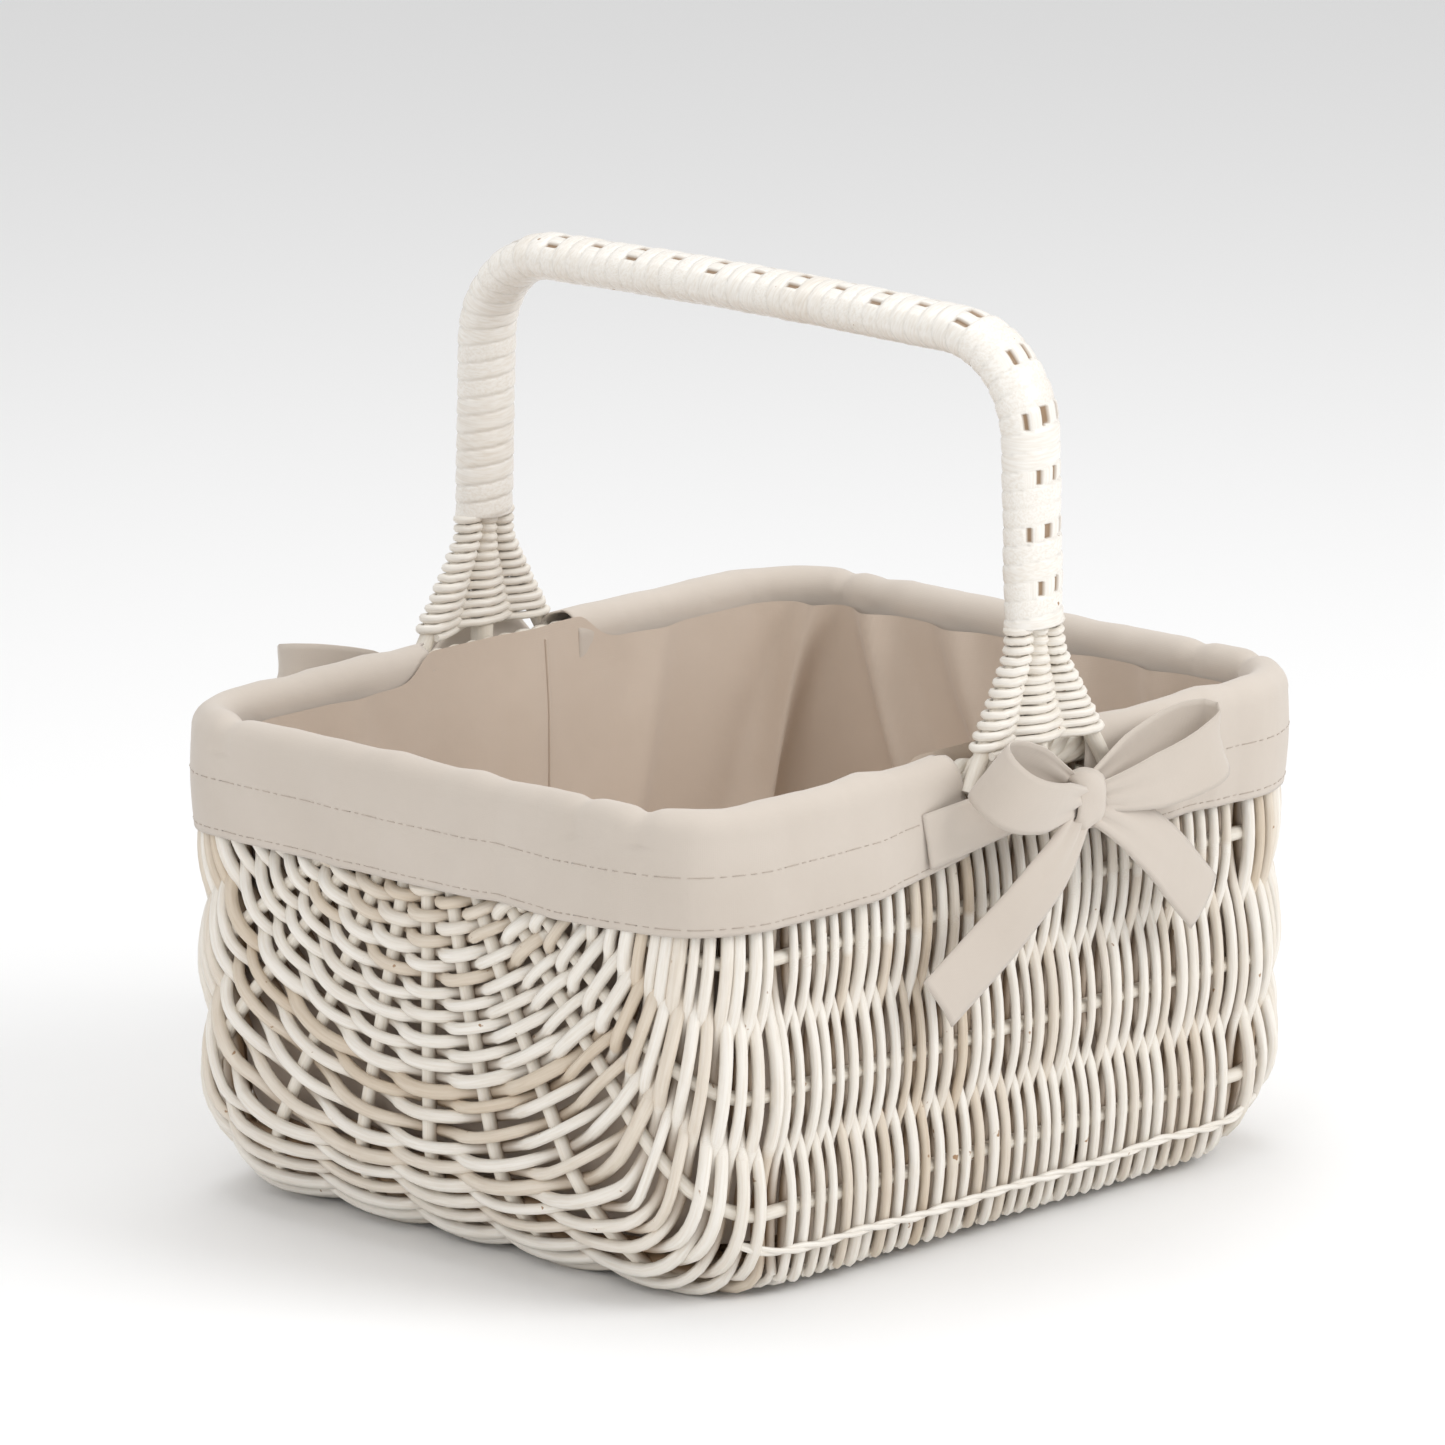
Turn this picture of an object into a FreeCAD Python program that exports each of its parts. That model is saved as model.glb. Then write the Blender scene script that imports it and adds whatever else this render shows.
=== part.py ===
import FreeCAD, Part
import math
import os
import Sketcher

# A lined willow basket with a fixed bow handle, in millimetres.
# X runs along the basket, Y across it, Z up.  The origin is the bottom centre.

V = FreeCAD.Vector
UP = V(0, 0, 1)

os.makedirs("parts", exist_ok=True)
doc = FreeCAD.newDocument("basket")

# ---------------------------------------------------------------- driving sizes
SIZES = [
    ("weave_length", 424.0),      # outside of the woven wall at the rim, lengthwise
    ("weave_width", 334.0),       # outside of the woven wall at the rim, crosswise
    ("wall_top", 209.0),          # height of the woven wall under the rim roll
    ("corner_radius", 50.0),      # plan corner of the woven wall
    ("end_inset", 32.0),          # how far each end turns in at the floor
    ("side_inset", 5.0),         # how far each long side turns in at the floor
    ("turn_height", 55.0),        # height over which the wall turns in
    ("bulge", 0.8),               # swell of the wall at half height
    ("wall_thick", 8.0),          # woven wall
    ("rib_radius", 3.2),
    ("rim_radius", 7.5),          # rolled willow border on the rim
    ("cloth", 1.5),               # lining cloth with its turned hems
    ("cuff_depth", 44.0),         # drop of the cuff below the centre of the rim roll
    ("cuff_gap", 48.0),           # half the opening between the cuffs at a handle foot
    ("clearance", 0.3),           # between neighbouring pieces
    ("layer_gap", 0.8),           # between wall, ribs and lining
    ("hoop_radius", 6.0),         # middle rod of the handle
    ("side_rod_radius", 3.6),     # the two rods beside it
    ("wrap_width", 30.4),
    ("wrap_depth", 20.0),
    ("wrap_thick", 1.2),
    ("grip_height", 407.0),       # centre line of the grip above the floor
    ("bend_radius", 44.0),
    ("leg_foot", 172.0),          # half the distance between the legs at the foot
    ("leg_top", 166.0),           # the same at the grip
    ("foot_height", 56.0),        # woven foot of the handle
    ("foot_spread", 36.5),        # side rods from the middle rod at the rim
    ("foot_edge", 7.3),           # woven strokes outside the side rods
    ("foot_thick", 18.5),
    ("ribbon_width", 28.0),
    ("ribbon_thick", 1.4),
    ("stick_radius", 2.4),        # twisted line along the foot of each long side
    ("stick_height", 23.0),
]
sheet = doc.addObject("Spreadsheet::Sheet", "sizes")
for row, (name, value) in enumerate(SIZES, start=1):
    sheet.set("A%d" % row, name)
    sheet.set("B%d" % row, str(value))
    sheet.setAlias("B%d" % row, name)
doc.recompute()


def size(name):
    return float(sheet.get(name))


half_l = size("weave_length") / 2
half_w = size("weave_width") / 2
wall_top = size("wall_top")
gap = size("clearance")
layer = size("layer_gap")
wall_thick = size("wall_thick")
rib_r = size("rib_radius")
cloth = size("cloth")
rim_r = size("rim_radius")

rib_depth = wall_thick + layer + rib_r            # rib centres below the outer surface
lining_depth = rib_depth + rib_r + 1.2            # outer face of the lining
# the roll hangs as far in as the lining allows, and out enough for the cuff to clear the wall
rim_inset = min(
    lining_depth - gap - cloth - gap - rim_r, rim_r + gap - size("bulge") - 0.2
)
rim_z = wall_top + gap + rim_r
rim_half_l = half_l - rim_inset
rim_half_w = half_w - rim_inset


# ---------------------------------------------------------------- helpers
def half_sizes(z, depth=0.0):
    """Half length, half width and corner radius of the wall at a height."""
    turn = max(0.0, 1 - z / size("turn_height"))
    slope = 2 * turn / size("turn_height")
    rise = z / wall_top
    swell = size("bulge") * 4 * rise * (1 - rise)
    lean_l = math.hypot(1, size("end_inset") * slope)
    lean_w = math.hypot(1, size("side_inset") * slope)
    a = half_l + swell - size("end_inset") * turn ** 2 - depth * lean_l
    b = half_w + swell - size("side_inset") * turn ** 2 - depth * lean_w
    return a, b, max(size("corner_radius") - depth, 6.0)


def rounded(a, b, r, z):
    """Closed rounded rectangle wire at height z."""
    d = r * math.sqrt(0.5)
    edges = []
    for sx, sy in ((1, 1), (-1, 1), (-1, -1), (1, -1)):
        cx, cy = sx * (a - r), sy * (b - r)
        along = V(cx + sx * r, cy, z)
        across = V(cx, cy + sy * r, z)
        middle = V(cx + sx * d, cy + sy * d, z)
        first, last = (along, across) if sx * sy > 0 else (across, along)
        edges.append(Part.Arc(first, middle, last).toShape())
    joined = []
    for i, arc in enumerate(edges):
        following = edges[(i + 1) % 4]
        joined.append(arc)
        joined.append(Part.makeLine(arc.Vertexes[-1].Point, following.Vertexes[0].Point))
    return Part.Wire(joined)


def hull(depth, low, high, count=8):
    """Solid inside the wall surface sunk by a depth, from height low to high."""
    turn = size("turn_height")
    heights = [low + (turn - low) * i / 4 for i in range(4)]
    heights += [turn + (high - turn) * i / (count - 4) for i in range(count - 3)]
    wires = [rounded(*half_sizes(z, depth), z) for z in heights]
    return Part.makeLoft(wires, True, False)


def rod(points, radius):
    """Round rod along smooth arcs through points."""
    curve = Part.BSplineCurve()
    curve.interpolate([V(*p) for p in points])
    arcs = [arc.toShape() for arc in curve.toBiArcs(0.15)]
    first = arcs[0]
    start = first.valueAt(first.FirstParameter)
    direction = first.tangentAt(first.FirstParameter)
    ring = Part.Wire([Part.makeCircle(radius, start, direction)])
    return Part.Wire(arcs).makePipeShell([ring], True, False)


def box(x0, x1, y0, y1, z0, z1):
    return Part.makeBox(x1 - x0, y1 - y0, z1 - z0, V(x0, y0, z0))


pieces = []


def add(name, shape):
    """Part made directly from a shape."""
    if len(shape.Solids) == 1:
        shape = shape.Solids[0]
    piece = doc.addObject("Part::Feature", name)
    piece.Label = name
    piece.Shape = shape
    pieces.append(piece)
    return piece


def origin_plane(body, role):
    return [f for f in body.Origin.OriginFeatures if f.Role == role][0]


def new_body(name):
    body = doc.addObject("PartDesign::Body", name)
    body.Label = name
    pieces.append(body)
    return body


def sketch_in(body, name, role):
    sketch = body.newObject("Sketcher::SketchObject", name)
    sketch.AttachmentSupport = [(origin_plane(body, role), "")]
    sketch.MapMode = "FlatFace"
    return sketch


def named(sketch, kind, *values):
    """Add a constraint that a formula from the sheet drives."""
    formula = values[-1]
    number = sketch.addConstraint(Sketcher.Constraint(kind, *values[:-1]))
    label = "size_%d" % number
    sketch.renameConstraint(number, label)
    sketch.setExpression("Constraints." + label, formula)


# ---------------------------------------------------------------- woven shell
outer = hull(0.0, 0.0, wall_top)
hollow = hull(wall_thick, wall_thick, wall_top + 5)
shell = outer.cut(hollow)

floor_a, floor_b, floor_r = half_sizes(0.0)
floor_margin = 24.0
floor_outline = rounded(floor_a - floor_margin, floor_b - floor_margin, floor_r - 14, -1)
floor_core = Part.Face(floor_outline).extrude(UP * (wall_thick + 3))
wide_outline = rounded(
    floor_a - floor_margin + gap, floor_b - floor_margin + gap, floor_r - 14 + gap, -1
)
floor_well = Part.Face(wide_outline).extrude(UP * (wall_thick + 3))
add("weave_base", shell.common(floor_core))

walls = shell.cut(floor_well)
split = floor_a - floor_margin - 1
far = 400.0
add("weave_end_left", walls.common(box(-far, -split - gap / 2, -far, far, -far, far)))
add("weave_end_right", walls.common(box(split + gap / 2, far, -far, far, -far, far)))
add("weave_side_front", walls.common(box(-split + gap / 2, split - gap / 2, -far, 0, -far, far)))
add("weave_side_back", walls.common(box(-split + gap / 2, split - gap / 2, 0, far, -far, far)))


# ---------------------------------------------------------------- ribs
def wall_point(station, z, depth):
    """Point on the sunk wall surface.

    Station 0 to 1 runs over half an end, 1 to 2 round the corner,
    2 to 3 along the front, 3 to 4 round the corner and 4 to 5 over half the other end.
    """
    a, b, r = half_sizes(z, depth)
    mirrored = station > 2.5
    s = 5 - station if mirrored else station
    if s <= 1:
        x, y = -a, -(b - r) * s
    elif s <= 2:
        angle = math.radians(90 * (s - 1))
        x = -(a - r) - r * math.cos(angle)
        y = -(b - r) - r * math.sin(angle)
    else:
        x, y = -(a - r) * (1 - 2 * (s - 2)), -b
    return (-x if mirrored else x, y, z)


def both_ends(half_path):
    """Carry the path of the left half on to the right half."""
    return half_path + [(-x, y, z) for x, y, z in reversed(half_path) if abs(x) > 1e-6]


rib_top = wall_top - 8
rib_pitch = 2 * rib_r + 1.8
side_ribs = [
    # name, place beside the end's middle, (station, height) down the end, then the
    # heights at the corner, at the start of the long side and at its middle
    ("upper", 5, [(0.62, 0.90), (0.85, 0.85), (1.0, 0.82)], 0.765, 0.73, 0.715),
    ("middle", 4, [(0.45, 0.80), (0.75, 0.66), (1.0, 0.545)], 0.49, 0.45, 0.41),
    ("lower", 3, [(0.43, 0.68), (0.74, 0.42), (1.0, 0.29)], 0.24, 0.21, 0.20),
]
for name, rank, track, at_corner, at_side, at_middle in side_ribs:
    end = track[-1][1]
    track = track + [(1.25, (end + at_corner) / 2 - 0.01), (1.5, at_corner)]
    track += [(1.75, (at_corner + at_side) / 2), (2.0, at_side)]
    for s in (2.06, 2.14, 2.25, 2.37, 2.5):
        share = (s - 2) / 0.5
        track.append((s, at_side + (at_middle - at_side) * share * (2 - share)))
    a, b, r = half_sizes(rib_top, rib_depth)
    half = [wall_point(rank * rib_pitch / (b - r), rib_top, rib_depth)]
    half += [wall_point(s, part * wall_top, rib_depth) for s, part in track]
    path = both_ends(half)
    add("rib_%s_front" % name, rod(path, rib_r))
    add("rib_%s_back" % name, rod([(x, -y, z) for x, y, z in path], rib_r))

floor_z = rib_depth + 0.8
floor_ribs = [("keel", 0, 0.0), ("inner", 1, 0.46), ("outer", 2, 0.82)]
for name, rank, spread in floor_ribs:
    top_y = rank * rib_pitch
    low_y = spread * (half_w - size("corner_radius"))
    half = []
    for z, share in ((rib_top, 0.0), (150, 0.26), (100, 0.52), (60, 0.76), (38, 0.88), (24, 0.96)):
        a = half_sizes(z, rib_depth + 0.3)[0]
        half.append((-a, -(top_y + (low_y - top_y) * share), z))
    reach = half_sizes(floor_z, rib_depth)[0]
    half += [(-reach + 4, -low_y, floor_z + 1.4), (-reach + 14, -low_y, floor_z)]
    half += [(-reach * k / 6, -low_y, floor_z) for k in (5, 4, 3, 2, 1, 0)]
    path = both_ends(half)
    if rank == 0:
        add("rib_keel", rod(path, rib_r))
        continue
    add("rib_%s_front" % name, rod(path, rib_r))
    add("rib_%s_back" % name, rod([(x, -y, z) for x, y, z in path], rib_r))

# Twisted line of weaver ends along the foot of each long side.
stick_r = size("stick_radius")
stick_z = size("stick_height")
stick_end = V(*wall_point(2.0, stick_z, -(stick_r + gap)))
stick = Part.makeCylinder(stick_r, -2 * stick_end.x, stick_end, V(1, 0, 0))
add("foot_twist_front", stick)
add("foot_twist_back", stick.mirror(V(0, 0, 0), V(0, 1, 0)))

# ---------------------------------------------------------------- handle
# Path of the middle rod: leg, bend, grip, bend, leg, in the plane across the basket.
rod_low = wall_top + 2.5
grip_z = size("grip_height")
leg_foot = size("leg_foot")
leg_top = size("leg_top")
bend = size("bend_radius")
lean = math.atan2(leg_foot - leg_top, grip_z - rod_low)


def leg_y(z):
    return leg_foot - (leg_foot - leg_top) * (z - rod_low) / (grip_z - rod_low)


hoop = new_body("handle_hoop")
line_of_hoop = sketch_in(hoop, "hoop_line", "YZ_Plane")
turn = math.pi / 2 - lean
tangent = bend * math.tan(turn / 2)
leg_end = V(
    leg_top + tangent * math.sin(lean),
    grip_z - tangent * math.cos(lean),
    0,
)
grip_end = V(leg_top - tangent, grip_z, 0)
centre = V(grip_end.x, grip_z - bend, 0)
foot_end = V(leg_y(rod_low), rod_low, 0)
arc_circle = Part.Circle(centre, UP, bend)
arc_right = Part.ArcOfCircle(arc_circle, lean, math.pi / 2)
left_circle = Part.Circle(V(-centre.x, centre.y, 0), UP, bend)
arc_left = Part.ArcOfCircle(left_circle, math.pi / 2, math.pi - lean)


def mirrored(p):
    return V(-p.x, p.y, p.z)


line_of_hoop.addGeometry(
    [
        Part.LineSegment(foot_end, leg_end),
        arc_right,
        Part.LineSegment(grip_end, mirrored(grip_end)),
        arc_left,
        Part.LineSegment(mirrored(leg_end), mirrored(foot_end)),
    ],
    False,
)
for first, at_first, second, at_second in ((0, 2, 1, 1), (1, 2, 2, 1), (2, 2, 3, 1), (3, 2, 4, 1)):
    line_of_hoop.addConstraint(
        Sketcher.Constraint("Tangent", first, at_first, second, at_second)
    )
line_of_hoop.addConstraint(Sketcher.Constraint("Symmetric", 0, 1, 4, 2, -2))
line_of_hoop.addConstraint(Sketcher.Constraint("Symmetric", 2, 1, 2, 2, -2))
named(line_of_hoop, "Radius", 1, bend, "sizes.bend_radius")
named(line_of_hoop, "DistanceX", -1, 1, 0, 1, foot_end.x, "sizes.leg_foot")
named(line_of_hoop, "DistanceY", -1, 1, 0, 1, foot_end.y, "sizes.wall_top + 2.5")
named(line_of_hoop, "DistanceY", -1, 1, 2, 1, grip_z, "sizes.grip_height")
named(
    line_of_hoop, "Angle", 0, math.pi / 2 + lean,
    "90 deg + atan((sizes.leg_foot - sizes.leg_top)"
    " / (sizes.grip_height - sizes.wall_top - 2.5))",
)
doc.recompute()


def leg_frame(z):
    """Centre and direction of the leg at the front, going up."""
    return V(0, -leg_y(z), z), V(0, math.sin(lean), math.cos(lean))


def tube_section(width, depth, z):
    """Oval across the front leg, wide along X."""
    at, along = leg_frame(z)
    oval = Part.Ellipse(V(0, 0, 0), width / 2, depth / 2)
    section = Part.Wire([oval.toShape()])
    section.Placement = FreeCAD.Placement(at, FreeCAD.Rotation(V(1, 0, 0), -math.degrees(lean)))
    return section


def hoop_wire(low, shift=0.0):
    """Line of the handle from the height low at the front over to the back."""
    start = V(shift, -leg_y(low), low)
    left = [V(shift, -leg_end.x, leg_end.y), V(shift, -grip_end.x, grip_end.y)]
    c = V(shift, -centre.x, centre.y)
    half_turn = lean + turn / 2
    mid = c + V(0, -bend * math.cos(half_turn), bend * math.sin(half_turn))

    def over(p):
        return V(p.x, -p.y, p.z)

    return [
        Part.makeLine(start, left[0]),
        Part.Arc(left[0], mid, left[1]).toShape(),
        Part.makeLine(left[1], over(left[1])),
        Part.Arc(over(left[1]), over(mid), over(left[0])).toShape(),
        Part.makeLine(over(left[0]), over(start)),
    ]


# The round section sits on the grip at the middle of the hoop and is swept to both feet.
round_section = sketch_in(hoop, "hoop_section", "XZ_Plane")
round_section.addGeometry(Part.Circle(V(0, grip_z, 0), UP, size("hoop_radius")), False)
named(round_section, "Radius", 0, size("hoop_radius"), "sizes.hoop_radius")
round_section.addConstraint(Sketcher.Constraint("PointOnObject", 0, 3, -2))
named(round_section, "DistanceY", -1, 1, 0, 3, grip_z, "sizes.grip_height")
hoop_pipe = hoop.newObject("PartDesign::AdditivePipe", "hoop_pipe")
hoop_pipe.Profile = round_section
hoop_pipe.Spine = line_of_hoop
doc.recompute()

foot_low = rim_z + rim_r + cloth + gap
foot_high = foot_low + size("foot_height")
wrap_low = foot_high + gap
side_r = size("side_rod_radius")
knee_radius = 40.0
knee_drop = 10.0
rod_pitch = size("hoop_radius") + side_r + gap / 2


def sweep(edges, section):
    return Part.Wire(edges).makePipeShell([section], True, False)


def side_rod(sign, radius, low=rod_low):
    """Rod beside the middle one that spreads out in the woven foot."""
    near = sign * rod_pitch
    wide = sign * size("foot_spread")
    knee = V(near, -leg_y(foot_high - knee_drop), foot_high - knee_drop)
    slope = (wide - near) / (foot_low - knee.z)
    splay = V(near + slope * (low - knee.z), -leg_y(low), low)
    down = (splay - knee).normalize()
    up = leg_frame(0)[1]
    half_angle = up.getAngle(-down) / 2
    tangent_length = knee_radius * math.tan(half_angle)
    below = knee + down * tangent_length
    above = knee + up * tangent_length
    inward = (down + up).normalize()
    sag = knee_radius * (1 / math.cos(half_angle) - 1)
    elbow = knee + inward * sag

    def over(p):
        return V(p.x, -p.y, p.z)

    line = [Part.makeLine(splay, below), Part.Arc(below, elbow, above).toShape()]
    line += hoop_wire(above.z, near)
    line += [Part.Arc(over(above), over(elbow), over(below)).toShape()]
    line += [Part.makeLine(over(below), over(splay))]
    ring = Part.Wire([Part.makeCircle(radius, splay, below - splay)])
    return Part.Wire(line).makePipeShell([ring], True, False)


side_rods = [side_rod(-1, side_r), side_rod(1, side_r)]
add("handle_rod_left", side_rods[0])
add("handle_rod_right", side_rods[1])

wrap_w = size("wrap_width")
wrap_d = size("wrap_depth")
wrap_t = size("wrap_thick")
wrap_outer = sweep(hoop_wire(wrap_low), tube_section(wrap_w, wrap_d, wrap_low))
bore_section = tube_section(wrap_w - 2 * wrap_t, wrap_d - 2 * wrap_t, wrap_low)
wrap_bore = sweep(hoop_wire(wrap_low), bore_section)
add("handle_wrap", wrap_outer.cut(wrap_bore))

# Woven feet: a tapered block round the three rods, open where they pass.
wide_hoop = size("hoop_radius") + gap


def hoop_channel():
    at, along = leg_frame(rod_low - 8)
    return Part.makeCylinder(wide_hoop, foot_high + 16 - rod_low, at, along)


half_low = size("foot_spread") + size("foot_edge")
half_high = rod_pitch + size("foot_edge")
thick = size("foot_thick")
outline = Part.makePolygon([
    V(-half_low, 0, foot_low), V(half_low, 0, foot_low),
    V(half_high, 0, foot_high), V(-half_high, 0, foot_high), V(-half_low, 0, foot_low),
])
block = Part.Face(outline).extrude(V(0, thick, 0))
block.translate(V(0, -thick / 2, 0))
middle_z = (foot_low + foot_high) / 2
block.rotate(V(0, 0, middle_z), V(1, 0, 0), -math.degrees(lean))
block.translate(V(0, -leg_y(middle_z), 0))
channels = [hoop_channel()]
channels += [side_rod(sign, side_r + gap, rod_low - 8) for sign in (-1, 1)]
front_foot = block
for channel in channels:
    front_foot = front_foot.cut(channel)
add("handle_foot_front", front_foot)
back_foot = front_foot.mirror(V(0, 0, 0), V(0, 1, 0))
add("handle_foot_back", back_foot)

# ---------------------------------------------------------------- rim roll
rim_line = rounded(rim_half_l, rim_half_w, size("corner_radius") - rim_inset, rim_z)
rim_section = Part.Wire([Part.makeCircle(rim_r, V(rim_half_l, 0, rim_z), V(0, 1, 0))])
rim_edges = list(rim_line.Edges)
rim_roll = Part.Wire(rim_edges).makePipeShell([rim_section], True, True)
for channel in channels:
    rim_roll = rim_roll.cut(channel)
    rim_roll = rim_roll.cut(channel.mirror(V(0, 0, 0), V(0, 1, 0)))
add("rim_roll", rim_roll)

# ---------------------------------------------------------------- lining
bag_low = lining_depth + 3.2
bag_high = rim_z - 2
bag_depth = lining_depth + 0.9
bag = hull(bag_depth, bag_low, bag_high).cut(
    hull(bag_depth + cloth, bag_low + cloth, bag_high + 5)
)
add("lining_bag", bag)

# Cuffs: cloth turned over the rim roll, one round each end.
inner_r = rim_r + gap
outer_r = inner_r + cloth
leg_in = bag_high - 10
leg_out = rim_z - size("cuff_depth")
corner = size("corner_radius") - rim_inset


def cuff_section(x):
    """Hooked cloth section on the front side: inside leg, turn over the roll, outside drop."""
    y = -rim_half_w
    top = [
        Part.makeLine(V(x, y - outer_r, leg_out), V(x, y - outer_r, rim_z)),
        Part.Arc(
            V(x, y - outer_r, rim_z), V(x, y, rim_z + outer_r), V(x, y + outer_r, rim_z)
        ).toShape(),
        Part.makeLine(V(x, y + outer_r, rim_z), V(x, y + outer_r, leg_in)),
        Part.makeLine(V(x, y + outer_r, leg_in), V(x, y + inner_r, leg_in)),
        Part.makeLine(V(x, y + inner_r, leg_in), V(x, y + inner_r, rim_z)),
        Part.Arc(
            V(x, y + inner_r, rim_z), V(x, y, rim_z + inner_r), V(x, y - inner_r, rim_z)
        ).toShape(),
        Part.makeLine(V(x, y - inner_r, rim_z), V(x, y - inner_r, leg_out)),
        Part.makeLine(V(x, y - inner_r, leg_out), V(x, y - outer_r, leg_out)),
    ]
    return Part.Wire(top)


def cuff_line(sign):
    """From the front cuff end round one end of the basket to the back cuff end."""
    g = size("cuff_gap")
    a, b, r = rim_half_l, rim_half_w, corner
    d = r * math.sqrt(0.5)

    def p(x, y):
        return V(sign * x, y, rim_z)

    return [
        Part.makeLine(p(g, -b), p(a - r, -b)),
        Part.Arc(p(a - r, -b), p(a - r + d, -(b - r) - d), p(a, -(b - r))).toShape(),
        Part.makeLine(p(a, -(b - r)), p(a, b - r)),
        Part.Arc(p(a, b - r), p(a - r + d, b - r + d), p(a - r, b)).toShape(),
        Part.makeLine(p(a - r, b), p(g, b)),
    ]


for name, sign in (("cuff_left", -1), ("cuff_right", 1)):
    section = cuff_section(sign * size("cuff_gap"))
    add(name, Part.Wire(cuff_line(sign)).makePipeShell([section], True, False, 0))

# ---------------------------------------------------------------- ties
# Two ribbons are tied in a bow at each foot of the handle.
rib_w = size("ribbon_width")
rib_t = size("ribbon_thick")
cuff_face = rim_half_w + outer_r
knot_x = 22.0
knot_z = rim_z - 16
knot_deep = 15.0
knot_half = 11.0
band_y = leg_foot + size("hoop_radius") + gap + rib_t / 2


def tilted_plate(start, length, angle, y, width):
    """Flat strip of ribbon standing in front of the wall, turned by an angle in view."""
    plate = Part.makeBox(length, rib_t, width, V(0, -rib_t / 2, -width / 2))
    plate.rotate(V(0, 0, 0), V(0, 1, 0), -angle)
    plate.translate(V(start[0], -y, start[1]))
    return plate


def tilted_loop(start, length, angle, y, width, height):
    """Loop of ribbon: a flattened ring as deep as the ribbon is wide."""
    h = height / 2
    ring = Part.Face(Part.Wire([
        Part.makeLine(V(0, -h / 2, 0), V(length - h, -h, 0)),
        Part.Arc(V(length - h, -h, 0), V(length, 0, 0), V(length - h, h, 0)).toShape(),
        Part.makeLine(V(length - h, h, 0), V(0, h / 2, 0)),
        Part.makeLine(V(0, h / 2, 0), V(0, -h / 2, 0)),
    ])).extrude(V(0, 0, width))
    k = h - rib_t
    inside = Part.Face(Part.Wire([
        Part.makeLine(V(rib_t, -k / 2, 0), V(length - h, -k, 0)),
        Part.Arc(V(length - h, -k, 0), V(length - rib_t, 0, 0), V(length - h, k, 0)).toShape(),
        Part.makeLine(V(length - h, k, 0), V(rib_t, k / 2, 0)),
        Part.makeLine(V(rib_t, k / 2, 0), V(rib_t, -k / 2, 0)),
    ])).extrude(V(0, 0, width))
    loop = ring.cut(inside)
    loop.translate(V(0, 0, -width / 2))
    loop.rotate(V(0, 0, 0), V(0, 1, 0), -angle)
    loop.translate(V(start[0], -y, start[1]))
    return loop


knot_y = band_y + 5.0
loop_h = 12.0
knot = box(
    knot_x - knot_half, knot_x + knot_half,
    -(knot_y + knot_deep / 2), -(knot_y - knot_deep / 2 + 2.6),
    knot_z - knot_half - 1, knot_z + knot_half + 1,
)
knot = knot.makeChamfer(2.5, knot.Edges)
left_face = knot_x - knot_half - gap
right_in = knot_x + knot_half - 4
tail_y = knot_y + 3.0
root = box(left_face - 6, left_face, -(tail_y + 3), -(band_y - rib_t / 2), knot_z - 9, knot_z + 9)

left_band = box(
    -size("cuff_gap") - 14, left_face, -(band_y + rib_t / 2), -(band_y - rib_t / 2),
    knot_z - rib_w / 2, knot_z + rib_w / 2,
)
left_end = -size("cuff_gap") - 14
left_ribbon = left_band.fuse([
    root,
    box(left_end, left_end + 8, -(band_y + rib_t / 2), -(cuff_face + gap), knot_z - 11, knot_z + 11),
    tilted_loop((left_face - 3, knot_z + 3), 62, 163, knot_y + 4, rib_w, loop_h),
    tilted_plate((left_face - 3, knot_z - 2), 120, 220, tail_y + 6.5, rib_w - 4),
    box(left_face - 6, left_face, -(tail_y + 8), -(tail_y), knot_z - 9, knot_z + 7),
])
right_band = box(
    knot_x + knot_half - 8, size("cuff_gap") + 34, -(band_y + rib_t / 2), -(band_y - rib_t / 2),
    knot_z - rib_w / 2, knot_z + rib_w / 2,
)
right_end = size("cuff_gap") + 34
right_ribbon = knot.fuse([
    right_band,
    box(right_end - 8, right_end, -(band_y + rib_t / 2), -(cuff_face + gap), knot_z - 11, knot_z + 11),
    tilted_loop((right_in, knot_z + 2), 80, 9, knot_y + 3, rib_w, loop_h),
    tilted_plate((right_in, knot_z - 3), 102, -36, tail_y + 2, rib_w - 4),
])
half_turn = FreeCAD.Placement(V(0, 0, 0), FreeCAD.Rotation(UP, 180))
for name, ribbon in (("left", left_ribbon), ("right", right_ribbon)):
    ribbon = ribbon.removeSplitter()
    add("tie_front_" + name, ribbon)
    turned = ribbon.copy()
    turned.Placement = half_turn
    add("tie_back_" + ("right" if name == "left" else "left"), turned)

# ---------------------------------------------------------------- checks and export
doc.recompute()
for piece in pieces:
    shape = piece.Shape
    if shape.isNull() or not shape.isValid() or "Invalid" in piece.State or "Error" in piece.State:
        raise RuntimeError("%s did not build" % piece.Label)
    if len(shape.Solids) != 1:
        raise RuntimeError("%s has %d solids" % (piece.Label, len(shape.Solids)))
    shape.exportStep(os.path.join("parts", piece.Label + ".step"))
print("%d pieces exported" % len(pieces))
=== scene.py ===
# %% [markdown]
# # A lined willow basket
#
# A maker plants stiff ribs in the middle of each short end, fans them out, runs them along the
# long sides and under the floor, and then weaves thin painted rods over and under them.
# The handle is three rods bound with split willow, and a cotton lining is turned over the rim.
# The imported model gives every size. Each soft or woven solid in it gets its real surface here.

# %% Load the fixed frame
import math

import bmesh
import bpy
import numpy as np
from mathutils import Matrix, Vector


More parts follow.
